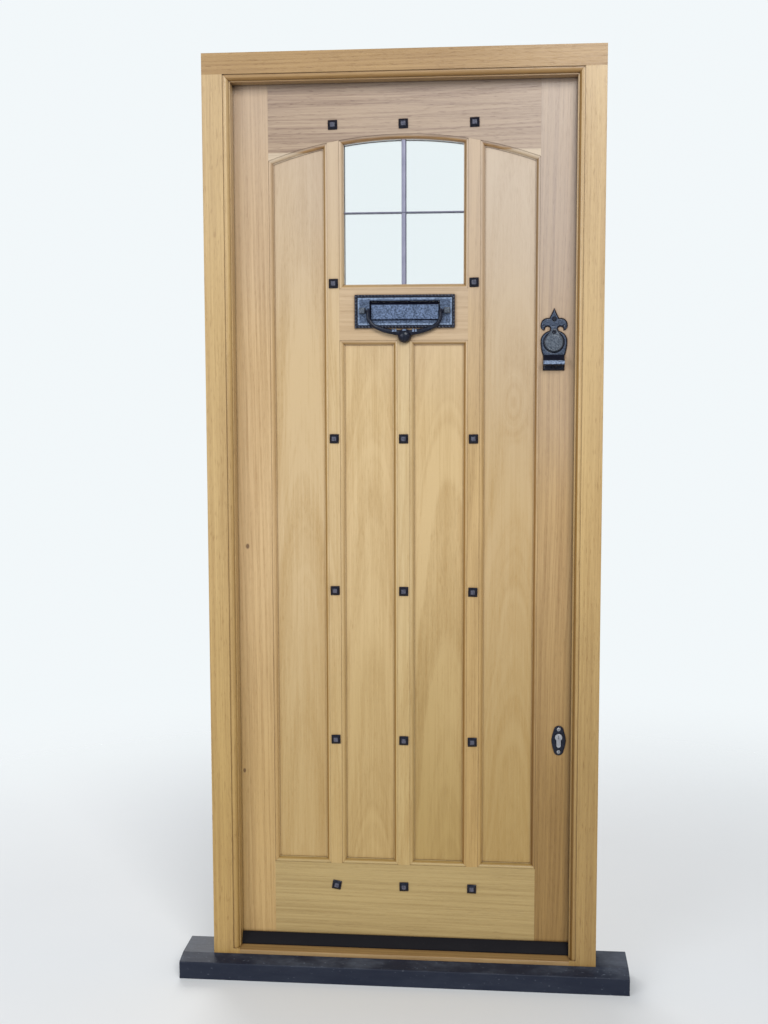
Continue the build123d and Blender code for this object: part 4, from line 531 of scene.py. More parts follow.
@dataclass(frozen=True)
class BlackPaint:
    """Brushed dark paint on timber, worn pale on its arris, with scuffs and dust."""

    name: str
    coat: Colour = (0.010, 0.014, 0.028)
    dust: Colour = (0.20, 0.23, 0.28)
    grain: tuple = (3.0, 160.0, 160.0)
    dust_share: float = 0.5
    scuff_share: float = 0.8
    rough: float = 0.38
    gloss: float = 0.5

    def material(self) -> bpy.types.Material:
        """Builds the paint's material.

        Returns:
            The material.
        """
        shader = Shader("paint_" + self.name)
        brush = shader.cloud(self.grain, 3.0, 0.6)
        cloud = shader.cloud((9.0, 14.0, 30.0), 4.0, 0.65)
        speck = shader.spread(shader.cloud((120.0, 200.0, 260.0), 2.0), 0.66, 0.76)
        up = shader.axes(shader.add("ShaderNodeNewGeometry").outputs["Normal"])[2]
        lying = shader.spread(up, 0.2, 0.9)
        dust = shader.math("MULTIPLY", shader.spread(cloud, 0.35, 0.75),
                           shader.math("MULTIPLY_ADD", lying, 0.7, 0.12))
        dust = shader.math("MULTIPLY", dust, self.dust_share)
        dust = shader.math("MULTIPLY_ADD", speck, 0.5 * self.scuff_share, dust, clamp=True)
        colour = shader.mix(dust, self.coat, self.dust)
        rough = shader.math("MULTIPLY_ADD", cloud, 0.25, self.rough - 0.1)
        return shader.finish(colour, rough, brush, 0.0003, 0.0012, Specular_IOR_Level=self.gloss)


@dataclass(frozen=True)
class PlainStuff:
    """A fine-grained material: lead, rubber, enamel or plastic."""

    name: str
    pale: Colour
    dark: Colour
    rough: float
    metal: float = 0.0
    speck: float = 260.0
    relief: float = 0.0001

    def material(self) -> bpy.types.Material:
        """Builds the material.

        Returns:
            The material.
        """
        shader = Shader("stuff_" + self.name)
        cloud = shader.cloud((30.0, 30.0, 30.0), 3.0, 0.6)
        fine = shader.cloud((self.speck,) * 3, 3.0, 0.6)
        tone = shader.math("MULTIPLY_ADD", fine, 0.5, shader.math("MULTIPLY", cloud, 0.5))
        colour = shader.mix(shader.spread(tone, 0.3, 0.7), self.pale, self.dark)
        rough = shader.math("MULTIPLY_ADD", fine, 0.2, self.rough - 0.1)
        return shader.finish(colour, rough, fine, self.relief, 0.0004, Metallic=self.metal)


@dataclass(frozen=True)
class WindowGlass:
    """Clear float glass, very slightly green and not perfectly flat."""

    name: str = "pane"
    tint: Colour = (0.965, 0.985, 0.985)

    def material(self) -> bpy.types.Material:
        """Builds the glass.

        Returns:
            The material.
        """
        shader = Shader("glass_" + self.name)
        ripple = shader.cloud((9.0, 9.0, 6.0), 1.0)
        film = shader.spread(shader.cloud((14.0, 14.0, 11.0), 4.0), 0.4, 0.8)
        rough = shader.math("MULTIPLY", film, 0.02)
        return shader.finish(self.tint, rough, ripple, 0.0002, Transmission_Weight=1.0, IOR=1.46)


def dress(node: str, material: bpy.types.Material) -> None:
    """Gives one solid of the model its material.

    Args:
        node: the solid's name.
        material: what it is made of.
    """
    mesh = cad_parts[node].data
    mesh.materials.clear()
    mesh.materials.append(material)


@dataclass(frozen=True)
class Lamp:
    """One soft square lamp, aimed at the middle of the door."""

    name: str
    place: tuple
    size: float
    power: float
    tone: Colour
    aim: tuple = (0.0, 0.0, 1.1)

    def hang(self) -> None:
        """Hangs the lamp, unseen by the camera and through glass."""
        light = bpy.data.lights.new(self.name, "AREA")
        light.shape = "SQUARE"
        light.size = self.size
        light.energy = self.power
        light.color = self.tone
        lamp = linked(self.name, light)
        lamp.location = self.place
        lamp.rotation_euler = (Vector(self.aim) - Vector(self.place)).to_track_quat("-Z", "Y").to_euler()
        lamp.visible_camera = False
        lamp.visible_transmission = False


@dataclass
class Studio:
    """Pale floor, soft lamps and the camera that stands where the picture was taken from."""

    floor_reach: float = 40.0
    floor_tone: Colour = (0.78, 0.79, 0.79)
    floor_near: float = 1.0
    floor_far: float = 3.2
    glow_tone: Colour = (0.80, 0.86, 0.96)
    glow: float = 0.45
    white_tone: Colour = (0.89, 0.935, 0.955)
    camera_place: tuple = (0.2445, -3.0520, 1.4181)
    camera_yaw: float = 5.3591
    camera_pitch: float = -5.4834
    camera_roll: float = -0.1308
    focal_pixels: float = 1330.02
    frame_pixels: float = 1024.0
    sensor: float = 24.0
    lamps: tuple[Lamp, ...] = (
        Lamp("key_lamp", (2.0, -6.8, 5.2), 3.6, 455.0, (1.0, 0.985, 0.955)),
        Lamp("fill_lamp", (-3.8, -5.4, 2.4), 3.4, 150.0, (0.94, 0.97, 1.0)),
        Lamp("inside_lamp", (-1.5, 4.5, 3.0), 3.0, 150.0, (1.0, 0.99, 0.97)),
    )

    def floor(self) -> None:
        """A wide pale floor at the height of the step."""
        reach = self.floor_reach
        mesh = bpy.data.meshes.new("floor")
        mesh.from_pydata([(-reach, -reach, 0), (reach, -reach, 0), (reach, reach, 0), (-reach, reach, 0)],
                         [], [(0, 1, 2, 3)])
        mesh.materials.append(self.floor_finish())
        linked("floor", mesh)

    def floor_finish(self) -> bpy.types.Material:
        """A pale floor that runs out into the pale surroundings away from the door.

        Returns:
            The floor's material.
        """
        shader = Shader("floor_plain")
        tone = shader.mix(shader.cloud((3.0, 3.0, 3.0)), self.floor_tone,
                          tuple(c * 0.97 for c in self.floor_tone))
        plain = shader.add("ShaderNodeBsdfDiffuse", {}, {"Color": tone})
        away = shader.add("ShaderNodeVectorMath", {"operation": "LENGTH"}, {0: shader.place()})
        share = shader.spread(away.outputs["Value"], self.floor_near, self.floor_far)
        clear = shader.add("ShaderNodeBsdfTransparent")
        mix = shader.add("ShaderNodeMixShader", {}, {0: share, 1: plain.outputs[0], 2: clear.outputs[0]})
        shader.add("ShaderNodeOutputMaterial", {}, {"Surface": mix.outputs[0]})
        return shader.material

    def sky(self) -> None:
        """Pale surroundings: white where they are seen, softer where they light the door."""
        world = bpy.data.worlds.new("surroundings")
        bpy.context.scene.world = world
        world.use_nodes = True
        world.node_tree.nodes.clear()
        sky = NodeWork(world.node_tree)
        path = sky.add("ShaderNodeLightPath").outputs
        seen = sky.math("MAXIMUM", path["Is Camera Ray"], path["Is Transmission Ray"])
        glow, white = (sky.add("ShaderNodeBackground", {}, {"Color": tone, "Strength": strength}).outputs[0]
                       for tone, strength in ((self.glow_tone, self.glow), (self.white_tone, 1.0)))
        choose = sky.add("ShaderNodeMixShader", {}, {0: seen, 1: glow, 2: white})
        sky.add("ShaderNodeOutputWorld", {}, {0: choose.outputs[0]})

    def camera(self) -> None:
        """The camera, aimed and framed as the picture is."""
        turn = Matrix.Rotation(math.radians(self.camera_yaw), 3, "Z") @ Matrix.Rotation(
            math.radians(self.camera_pitch), 3, "X")
        right, ahead, up = turn.col[0], turn.col[1], turn.col[2]
        roll = math.radians(self.camera_roll)
        across = right * math.cos(roll) + up * math.sin(roll)
        upward = up * math.cos(roll) - right * math.sin(roll)
        matrix = Matrix((across, upward, -ahead)).transposed().to_4x4()
        matrix.translation = Vector(self.camera_place)
        data = bpy.data.cameras.new("camera")
        data.sensor_fit = "VERTICAL"
        data.sensor_height = self.sensor
        data.lens = self.focal_pixels * self.sensor / self.frame_pixels
        camera = linked("camera", data)
        camera.matrix_world = matrix
        bpy.context.scene.camera = camera

    def build(self) -> None:
        """Sets the whole studio up."""
        self.camera()
        self.floor()
        self.sky()
        for lamp in self.lamps:
            lamp.hang()
        bpy.context.scene.view_settings.view_transform = "Standard"


@dataclass
class OakWork:
    """All the oak of the frame and the leaf, each board with its own grain."""

    boards: tuple[OakBoard, ...] = field(default_factory=tuple)

    def dress(self) -> None:
        """Gives every oak board its material."""
        for board in self.boards:
            dress(board.name, board.material())
            log.info("oak board %s", board.name)


def oak_boards() -> tuple[OakBoard, ...]:
    """The boards, with the tone and figure that each shows.

    Returns:
        One finish for each oak node.
    """
    up, level = Grain.UPRIGHT, Grain.LEVEL
    golden = dict(pale=(0.540, 0.368, 0.155), dark=(0.35, 0.21, 0.075), painted_sheen_share=0.2, fleck_share=0.5,
                  ring_share=0.22)
    return (
        OakBoard("hinge_jamb", up, heart_across=-0.52, heart_depth=0.02, slip=0.3, **golden),
        OakBoard("lock_jamb", up, heart_across=0.53, heart_depth=0.03, slip=1.9,
                 low_tone=(0.64, 0.60, 0.48), moulding_stain_and_shade=(0.68, 0.60, 0.42), **golden),
        # The head's darker tone is partly painted shadow, as cast on it by a cornice above.
        OakBoard("frame_head", level, pale=(0.400, 0.247, 0.098), dark=(0.24, 0.13, 0.045),
                 heart_across=-2.25, heart_depth=0.05, painted_sheen=(0.38, 0.26, 0.15), painted_sheen_share=0.1,
                 fleck_share=0.5, ring_share=0.22, slip=2.7),
        OakBoard("oak_sill", level, pale=(0.46, 0.30, 0.14), dark=(0.27, 0.16, 0.07), heart_across=-0.06,
                 heart_depth=0.05, slip=0.8, painted_sheen_share=0.0, low_tone=(0.80, 0.80, 0.74)),
        OakBoard("hinge_stile", up, pale=(0.590, 0.410, 0.210), dark=(0.39, 0.24, 0.10), heart_across=-0.47,
                 heart_depth=0.03, painted_sheen=(0.37, 0.300, 0.275), slip=3.1,
                 knots=((-0.3725, 1.0352, 0.0055, 0.0080), (-0.3865, 0.4888, 0.0045, 0.0070))),
        OakBoard("lock_stile", up, pale=(0.490, 0.325, 0.150), dark=(0.31, 0.185, 0.075), heart_across=0.48,
                 heart_depth=0.04, painted_sheen=(0.41, 0.375, 0.385), low_tone=(0.62, 0.56, 0.365), slip=4.4),
        OakBoard("top_rail", level, pale=(0.430, 0.310, 0.200), dark=(0.19, 0.112, 0.064),
                 heart_across=-2.16, heart_depth=0.06, heart_lean=0.02, painted_sheen=(0.365, 0.300, 0.275),
                 painted_sheen_share=0.6, painted_sheen_from=1.5, painted_sheen_to=2.25,
                 ring_share=0.34, streak_share=0.9, fleck_share=0.5, slip=5.2, pale_below=1.950,
                 moulding_stain_and_shade=(1.0, 0.78, 0.42)),
        OakBoard("mid_rail", level, pale=(0.555, 0.395, 0.225), dark=(0.38, 0.245, 0.115),
                 heart_across=-1.45, heart_depth=0.07, painted_sheen=(0.47, 0.38, 0.31), slip=6.6),
        OakBoard("bottom_rail", level, pale=(0.455, 0.334, 0.155), dark=(0.31, 0.210, 0.082),
                 heart_across=-0.02, heart_depth=0.05, low_tone=(0.90, 0.88, 0.78), slip=7.3),
        OakBoard("left_muntin", up, pale=(0.575, 0.415, 0.215), heart_across=-0.24,
                 painted_sheen=(0.46, 0.375, 0.335), slip=8.1),
        OakBoard("right_muntin", up, heart_across=0.25, heart_depth=0.06, painted_sheen=(0.46, 0.385, 0.355), slip=9.4,
                 pale=(0.550, 0.375, 0.170), dark=(0.37, 0.23, 0.09)),
        OakBoard("centre_muntin", up, pale=(0.595, 0.445, 0.235), heart_across=0.06, heart_depth=0.07,
                 slip=10.2),
        OakBoard("left_tall_panel", up, pale=(0.560, 0.405, 0.215), heart_across=-0.238, heart_depth=0.040,
                 heart_lean=0.015, painted_sheen=(0.44, 0.385, 0.375), ring_share=0.42, slip=11.0),
        OakBoard("right_tall_panel", up, pale=(0.510, 0.360, 0.180), heart_across=0.258, heart_depth=0.035,
                 heart_lean=0.017, painted_sheen=(0.53, 0.48, 0.455), low_tone=(0.74, 0.695, 0.485), ring_share=0.5,
                 slip=12.6, eye=(0.256, 1.375, 0.022, 0.055)),
        OakBoard("left_low_panel", up, pale=(0.595, 0.430, 0.220), heart_across=-0.075, heart_depth=0.045,
                 low_tone=(0.76, 0.72, 0.56), ring_share=0.40, slip=13.3),
        OakBoard("right_low_panel", up, pale=(0.580, 0.415, 0.205), heart_across=0.105, heart_depth=0.035,
                 heart_lean=0.019, low_tone=(0.65, 0.605, 0.405), ring_share=0.48, slip=14.9),
        OakBoard("glazing_beads", up, heart_across=0.3, heart_depth=0.12, slip=15.2),
    )


class Recipe(NodeWork):
    """A geometry recipe while it is being built, and its use on a carrier mesh."""

    def __init__(self, name: str) -> None:
        """Starts an empty recipe."""
        super().__init__(bpy.data.node_groups.new(name, "GeometryNodeTree"))
        for way in ("INPUT", "OUTPUT"):
            self.tree.interface.new_socket("Geometry", in_out=way, socket_type="NodeSocketGeometry")
        self.entry = self.add("NodeGroupInput")
        self.exit = self.add("NodeGroupOutput")
        self.keys: dict[str, str] = {}

    def ask(self, label: str, value: object, kind: str = "NodeSocketFloat") -> bpy.types.NodeSocket:
        """Adds a named input.

        Args:
            label: the input's name.
            value: its usual value.
            kind: the socket's type.

        Returns:
            The input's socket inside the recipe.
        """
        socket = self.tree.interface.new_socket(label, in_out="INPUT", socket_type=kind)
        if value is not None:
            socket.default_value = value
        self.keys[label] = socket.identifier
        return next(out for out in self.entry.outputs if out.identifier == socket.identifier)

    def line(self) -> bpy.types.NodeSocket:
        """The carrier's edges as a curve."""
        return self.add("GeometryNodeMeshToCurve", {}, {"Mesh": self.entry.outputs[0]}).outputs[0]

    def helper(self, label: str) -> bpy.types.NodeSocket:
        """Adds an input for a helper object and gives its shape."""
        source = self.ask(label, None, "NodeSocketObject")
        return self.add("GeometryNodeObjectInfo", {}, {
            "Object": source, "As Instance": True}).outputs["Geometry"]

    def chance(self, low: object, high: object, seed: int) -> bpy.types.NodeSocket:
        """A number drawn for each point, from the input Seed.

        Args:
            low: the least number.
            high: the greatest number.
            seed: the usual seed.

        Returns:
            The number's socket.
        """
        drawn = self.ask("Seed", seed, "NodeSocketInt")
        return self.add("FunctionNodeRandomValue", {"data_type": "FLOAT"}, {
            "Min": low, "Max": high, "Seed": drawn}).outputs[1]

    def scatter(self, points: bpy.types.NodeSocket, shape: bpy.types.NodeSocket,
                turn: bpy.types.NodeSocket, size: object = (1.0, 1.0, 1.0)) -> bpy.types.NodeSocket:
        """Sets a shape on every point.

        Args:
            points: the points.
            shape: the shape.
            turn: how each one is turned.
            size: how much each one is stretched.

        Returns:
            The instances' socket.
        """
        return self.add("GeometryNodeInstanceOnPoints", {}, {
            "Points": points, "Instance": shape, "Rotation": turn, "Scale": size}).outputs[0]

    def bar(self, curve: bpy.types.NodeSocket, across: object, up: object,
            corners: int) -> bpy.types.Node:
        """Draws an oval section along a curve.

        Args:
            curve: the curve.
            across: half the oval's width.
            up: half its height.
            corners: how many corners it has.

        Returns:
            The node that makes the bar.
        """
        ring = self.add("GeometryNodeCurvePrimitiveCircle", {"mode": "RADIUS"}, {
            "Resolution": corners, "Radius": 1.0})
        oval = self.add("GeometryNodeTransform", {}, {
            "Geometry": ring.outputs[0], "Scale": self.vector(across, up, 1.0)})
        return self.add("GeometryNodeCurveToMesh", {}, {
            "Curve": curve, "Profile Curve": oval.outputs[0], "Fill Caps": True})

    def finish(self, shape: bpy.types.NodeSocket, smooth: bool = False) -> None:
        """Makes the instances real, gives them their material and ends the recipe.

        Args:
            shape: the shape to hand out.
            smooth: whether it is shaded smooth.
        """
        if smooth:
            shape = self.add("GeometryNodeSetShadeSmooth", {}, {"Geometry": shape}).outputs[0]
        material = self.ask("Material", None, "NodeSocketMaterial")
        real = self.add("GeometryNodeRealizeInstances", {}, {"Geometry": shape})
        painted = self.add("GeometryNodeSetMaterial", {}, {"Geometry": real.outputs[0], "Material": material})
        self.fill(self.exit.inputs[0], painted.outputs[0])

    def make(self, name: str, carrier: bpy.types.Object, material: bpy.types.Material, body: Body,
             slot: Slot, **values: object) -> bpy.types.Object:
        """Runs the recipe on a carrier and keeps the result as a plain mesh.

        Args:
            name: the new piece's name.
            carrier: the mesh whose points or edges the recipe follows; it is removed.
            material: what the piece is made of.
            body: the body that it moves with.
            slot: the material slot of the record; not used.
            **values: the recipe's inputs, with _ for a space.

        Returns:
            The new piece.
        """
        modifier = carrier.modifiers.new("recipe", "NODES")
        modifier.node_group = self.tree
        modifier[self.keys["Material"]] = material
        for label, value in values.items():
            modifier[self.keys[label.replace("_", " ")]] = value
        ready = carrier.evaluated_get(bpy.context.evaluated_depsgraph_get())
        mesh = bpy.data.meshes.new_from_object(ready)
        carrier.modifiers.remove(modifier)
        bpy.data.objects.remove(carrier)
        return new_piece(name, mesh, material, body)


def carrier(name: str, points: list[Vector], edges: list[tuple[int, int]] | None = None) -> bpy.types.Object:
    """A helper mesh of points, or of a line, for a recipe to follow.

    Args:
        name: the helper's name.
        points: its points, in metres.
        edges: pairs of points that are joined.

    Returns:
        The helper object.
    """
    mesh = bpy.data.meshes.new(name)
    mesh.from_pydata([tuple(p) for p in points], edges or [], [])
    return linked(name, mesh)


def line_carrier(name: str, points: list[Vector], closed: bool = False) -> bpy.types.Object:
    """A helper mesh of one line.

    Args:
        name: the helper's name.
        points: the line's points, in metres.
        closed: whether its end meets its start.

    Returns:
        The helper object.
    """
    edges = [(n, n + 1) for n in range(len(points) - 1)]
    if closed:
        edges.append((len(points) - 1, 0))
    return carrier(name, points, edges)


def linked(name: str, data: bpy.types.ID) -> bpy.types.Object:
    """A new object in the scene.

    Args:
        name: the object's name.
        data: its mesh, lamp or camera.

    Returns:
        The object.
    """
    thing = bpy.data.objects.new(name, data)
    bpy.context.scene.collection.objects.link(thing)
    return thing


def new_piece(name: str, mesh: bpy.types.Mesh, material: bpy.types.Material, body: Body) -> bpy.types.Object:
    """Makes a finished mesh a piece of the door.

    Args:
        name: the piece's name.
        mesh: its mesh, in place.
        material: what it is made of.
        body: the body that it moves with.

    Returns:
        The new piece.
    """
    mesh.name = name
    mesh.materials.clear()
    mesh.materials.append(material)
    piece = linked(name, mesh)
    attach(piece, body.value)
    log.info("piece %s: %d faces", name, len(mesh.polygons))
    return piece


def eased_piece(name: str, mesh: bpy.types.Mesh, material: bpy.types.Material, body: Body,
                smooth_angle: float = 40.0) -> bpy.types.Object:
    """Makes a mesh a piece of the door whose flat edges look smooth.

    Args:
        name: the piece's name.
        mesh: its mesh, in place.
        material: what it is made of.
        body: the body that it moves with.
        smooth_angle: edges flatter than this many degrees look smooth.

    Returns:
        The new piece.
    """
    mesh.shade_smooth()
    mesh.set_sharp_from_angle(angle=math.radians(smooth_angle))
    return new_piece(name, mesh, material, body)


def finished(model: bmesh.types.BMesh, name: str, outward: bool = True) -> bpy.types.Mesh:
    """Hands a shape over as a mesh.

    Args:
        model: the shape; it is freed.
        name: the mesh's name.
        outward: whether its faces are turned outwards first.

    Returns:
        The mesh.
    """
    if outward:
        bmesh.ops.recalc_face_normals(model, faces=model.faces)
    mesh = bpy.data.meshes.new(name)
    model.to_mesh(mesh)
    model.free()
    return mesh


def bridged(model: bmesh.types.BMesh, rings: list[list[bmesh.types.BMVert]]) -> None:
    """Joins rings of points with faces, one ring to the next; a ring of one point closes to it.

    Args:
        model: the shape.
        rings: the rings, all of the same number of points or of one.
    """
    for low, high in zip(rings, rings[1:]):
        count = max(len(low), len(high))
        for n in range(count):
            m = (n + 1) % count
            if len(low) == 1:
                model.faces.new((low[0], high[m], high[n]))
            elif len(high) == 1:
                model.faces.new((low[n], low[m], high[0]))
            else:
                model.faces.new((low[n], low[m], high[m], high[n]))


def middle_of(node: str) -> Point:
    """The middle of a solid's box across and up, in millimetres."""
    low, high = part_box(node)
    return (low.x + high.x) / 2 / MM, (low.z + high.z) / 2 / MM


def leaf_face() -> float:
    """Depth of the leaf's outer face, in millimetres."""
    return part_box("mid_rail")[0].y / MM


def toned(piece: bpy.types.Object, others: tuple, choose: Callable[[Vector, float], int]) -> None:
    """Gives some faces of a piece another material.

    Args:
        piece: the piece.
        others: the further materials, counted from 1.
        choose: the count for a face, from its middle in millimetres and how squarely it faces front or back.
    """
    for other in others:
        piece.data.materials.append(other)
    for face in piece.data.polygons:
        face.material_index = choose(face.center / MM, abs(face.normal.y))


def smooth_line(points: list[Point], steps: int = 8) -> list[Point]:
    """A smooth line through given points.

    Args:
        points: the points to pass through.
        steps: pieces between two points.

    Returns:
        The line's points.
    """
    padded = [points[0], *points, points[-1]]
    line = []
    for first, a, b, last in zip(padded, padded[1:], padded[2:], padded[3:]):
        for step in range(steps):
            t = step / steps
            line.append(tuple(0.5 * (2 * a[k] + (b[k] - first[k]) * t
                                     + (2 * first[k] - 5 * a[k] + 4 * b[k] - last[k]) * t * t
                                     + (3 * a[k] - first[k] - 3 * b[k] + last[k]) * t ** 3) for k in (0, 1)))
    line.append(points[-1])
    return line


def arc_points(start: Point, middle: Point, end: Point, steps: int = 8) -> list[Point]:
    """Points of the arc through three points, without its last one.

    Args:
        start: first point.
        middle: a point on the way.
        end: last point.
        steps: how many pieces.

    Returns:
        The points.
    """
    (ax, ay), (bx, by), (cx, cy) = start, middle, end
    d = 2 * (ax * (by - cy) + bx * (cy - ay) + cx * (ay - by))
    ux = ((ax**2 + ay**2) * (by - cy) + (bx**2 + by**2) * (cy - ay) + (cx**2 + cy**2) * (ay - by)) / d
    uy = ((ax**2 + ay**2) * (cx - bx) + (bx**2 + by**2) * (ax - cx) + (cx**2 + cy**2) * (bx - ax)) / d
    radius = math.hypot(ax - ux, ay - uy)
    a0 = math.atan2(ay - uy, ax - ux)
    a1 = math.atan2(by - uy, bx - ux)
    a2 = math.atan2(cy - uy, cx - ux)
    turn = (a2 - a0) % (2 * math.pi)
    if (a1 - a0) % (2 * math.pi) > turn:
        turn -= 2 * math.pi
    return [(ux + radius * math.cos(a0 + turn * n / steps), uy + radius * math.sin(a0 + turn * n / steps))
            for n in range(steps)]


def groove(away: float, at: float, wide: float, deep: float) -> float:
    """How deep a rounded groove is at a distance.

    Args:
        away: the distance.
        at: where the groove is deepest.
        wide: how far it spreads.
        deep: its depth there.

    Returns:
        The depth.
    """
    return deep * math.exp(-((away - at) / wide) ** 2)


@dataclass
class CastRelief:
    """A cast plate on the XZ plane: its outline, and a face whose height follows a rule.

    All sizes are in millimetres. The back lies at back_y and the face stands out towards -Y, or
    towards +Y on an inside plate.
    """

    outline: list[Point]
    back_y: float
    rise: Callable[[float, float, float], float]
    holes: list[list[Point]] = field(default_factory=list)
    spacing: float = 1.2
    hammer: float = 0.18
    hammer_size: float = 4.0
    outside: bool = True

    def edge_points(self, loop: list[Point]) -> list[Point]:
        """The loop with its long edges divided.

        Args:
            loop: corners of a closed line.

        Returns:
            The divided line.
        """
        points = []
        for (x0, z0), (x1, z1) in zip(loop, loop[1:] + loop[:1]):
            parts = max(1, round(math.hypot(x1 - x0, z1 - z0) / self.spacing))
            points += [(x0 + (x1 - x0) * n / parts, z0 + (z1 - z0) * n / parts) for n in range(parts)]
        return points

    @staticmethod
    def inside(x: float, z: float, loop: list[Point]) -> bool:
        """Whether a point lies inside a closed line."""
        found = False
        for (x0, z0), (x1, z1) in zip(loop, loop[1:] + loop[:1]):
            if (z0 > z) != (z1 > z) and x < (x1 - x0) * (z - z0) / (z1 - z0) + x0:
                found = not found
        return found

    @staticmethod
    def edge_distance(x: float, z: float, loops: list[list[Point]]) -> float:
        """Distance from a point to the nearest edge."""
        best = 1e9
        for loop in loops:
            for (x0, z0), (x1, z1) in zip(loop, loop[1:] + loop[:1]):
                dx, dz = x1 - x0, z1 - z0
                t = max(0.0, min(1.0, ((x - x0) * dx + (z - z0) * dz) / (dx * dx + dz * dz)))
                best = min(best, (x - x0 - t * dx) ** 2 + (z - z0 - t * dz) ** 2)
        return math.sqrt(best)

    def mesh(self) -> bpy.types.Mesh:
        """Builds the closed plate.

        Returns:
            Its mesh, in metres.
        """
        corners = [self.outline, *self.holes]
        loops = [self.edge_points(loop) for loop in corners]
        flat = [Vector(p) for loop in loops for p in loop]
        edges = []
        start = 0
        for loop in loops:
            edges += [(start + n, start + (n + 1) % len(loop)) for n in range(len(loop))]
            start += len(loop)
        xs = [p[0] for p in self.outline]
        zs = [p[1] for p in self.outline]
        row, z = 0, min(zs)
        while z < max(zs):
            x = min(xs) + (self.spacing / 2 if row % 2 else 0.0)
            while x < max(xs):
                if self.inside(x, z, self.outline) and not any(self.inside(x, z, h) for h in self.holes):
                    if self.edge_distance(x, z, corners) > 0.45 * self.spacing:
                        flat.append(Vector((x, z)))
                x += self.spacing
            z += self.spacing * 0.87
            row += 1
        verts, _, faces, *_ = geometry.delaunay_2d_cdt(flat, edges, [], 0, 1e-6)
        kept = []
        for face in faces:
            cx = sum(verts[n].x for n in face) / 3
            cz = sum(verts[n].y for n in face) / 3
            if self.inside(cx, cz, loops[0]) and not any(self.inside(cx, cz, h) for h in loops[1:]):
                kept.append(face)
        way = -1.0 if self.outside else 1.0
        model = bmesh.new()
        front, back = [], []
        for vert in verts:
            near = self.edge_distance(vert.x, vert.y, corners)
            lift = self.rise(vert.x, vert.y, near)
            if near > 0.3:
                spot = Vector((vert.x, vert.y, 7.0)) / self.hammer_size
                lift += self.hammer * (noise.noise(spot) + 0.5 * noise.noise(spot * 2.3)) * min(1.0, near / 2)
            front.append(model.verts.new((vert.x * MM, (self.back_y + way * lift) * MM, vert.y * MM)))
            back.append(model.verts.new((vert.x * MM, self.back_y * MM, vert.y * MM)))
        for a, b, c in kept:
            model.faces.new((front[a], front[b], front[c]))
            model.faces.new((back[c], back[b], back[a]))
        counts: dict[tuple[int, int], int] = {}
        for face in kept:
            for pair in zip(face, (*face[1:], face[0])):
                counts[pair] = 1
        for a, b in counts:
            if (b, a) not in counts:
                model.faces.new((front[b], front[a], back[a], back[b]))
        bmesh.ops.remove_doubles(model, verts=model.verts, dist=1e-7)
        return finished(model, "relief")


def lathe(profile: list[Point], centre: tuple[float, float, float], turns: int = 32,
          dent: float = 0.0) -> bpy.types.Mesh:
    """A turned shape round an axis along Y.

    Args:
        profile: radius and depth pairs, in millimetres, ending on the axis at both ends.
        centre: a point on the axis, in millimetres; depths count from its y.
        turns: how many pieces round.
        dent: how far hammer marks go in, in millimetres.

    Returns:
        The mesh, in metres.
    """
    model = bmesh.new()
    rings = []
    for radius, depth in profile:
        ring = []
        for n in range(turns if radius > 0 else 1):
            angle = 2 * math.pi * n / turns
            spot = Vector((radius * math.cos(angle), depth, radius * math.sin(angle)))
            reach = radius + dent * noise.noise(spot * 0.35)
            ring.append(model.verts.new(((centre[0] + reach * math.cos(angle)) * MM,
                                         (centre[1] + depth) * MM,
                                         (centre[2] + reach * math.sin(angle)) * MM)))
        rings.append(ring)
    bridged(model, rings)
    return finished(model, "lathe")


def bevelled_block(low: tuple, high: tuple, taper: float = 0.0, bevel: float = 0.8,
                   segments: int = 2) -> bpy.types.Mesh:
    """A block with eased edges, its front drawn in by a taper.

    Args:
        low: lowest corner, in millimetres.
        high: highest corner, in millimetres.
        taper: how far each side of the front (lowest y) is drawn in.
        bevel: width of the eased edges.
        segments: pieces across an eased edge.

    Returns:
        The mesh, in metres.
    """
    model = bmesh.new()
    (x0, y0, z0), (x1, y1, z1) = low, high
    t = taper
    spots = [(x0 + t, y0, z0 + t), (x1 - t, y0, z0 + t), (x1 - t, y0, z1 - t), (x0 + t, y0, z1 - t),
             (x0, y1, z0), (x1, y1, z0), (x1, y1, z1), (x0, y1, z1)]
    verts = [model.verts.new(tuple(c * MM for c in spot)) for spot in spots]
    for face in ((0, 1, 2, 3), (7, 6, 5, 4), (0, 4, 5, 1), (1, 5, 6, 2), (2, 6, 7, 3), (3, 7, 4, 0)):
        model.faces.new([verts[n] for n in face])
    bmesh.ops.recalc_face_normals(model, faces=model.faces)
    bmesh.ops.bevel(model, geom=list(model.edges), offset=bevel * MM, segments=segments, profile=0.6,
                    affect="EDGES")
    return finished(model, "block", outward=False)


def joined(meshes: list[bpy.types.Mesh]) -> bpy.types.Mesh:
    """Puts several meshes together in one.

    Args:
        meshes: the meshes; they are removed.

    Returns:
        The one mesh.
    """
    model = bmesh.new()
    for mesh in meshes:
        model.from_mesh(mesh)
        bpy.data.meshes.remove(mesh)
    return finished(model, "joined", outward=False)


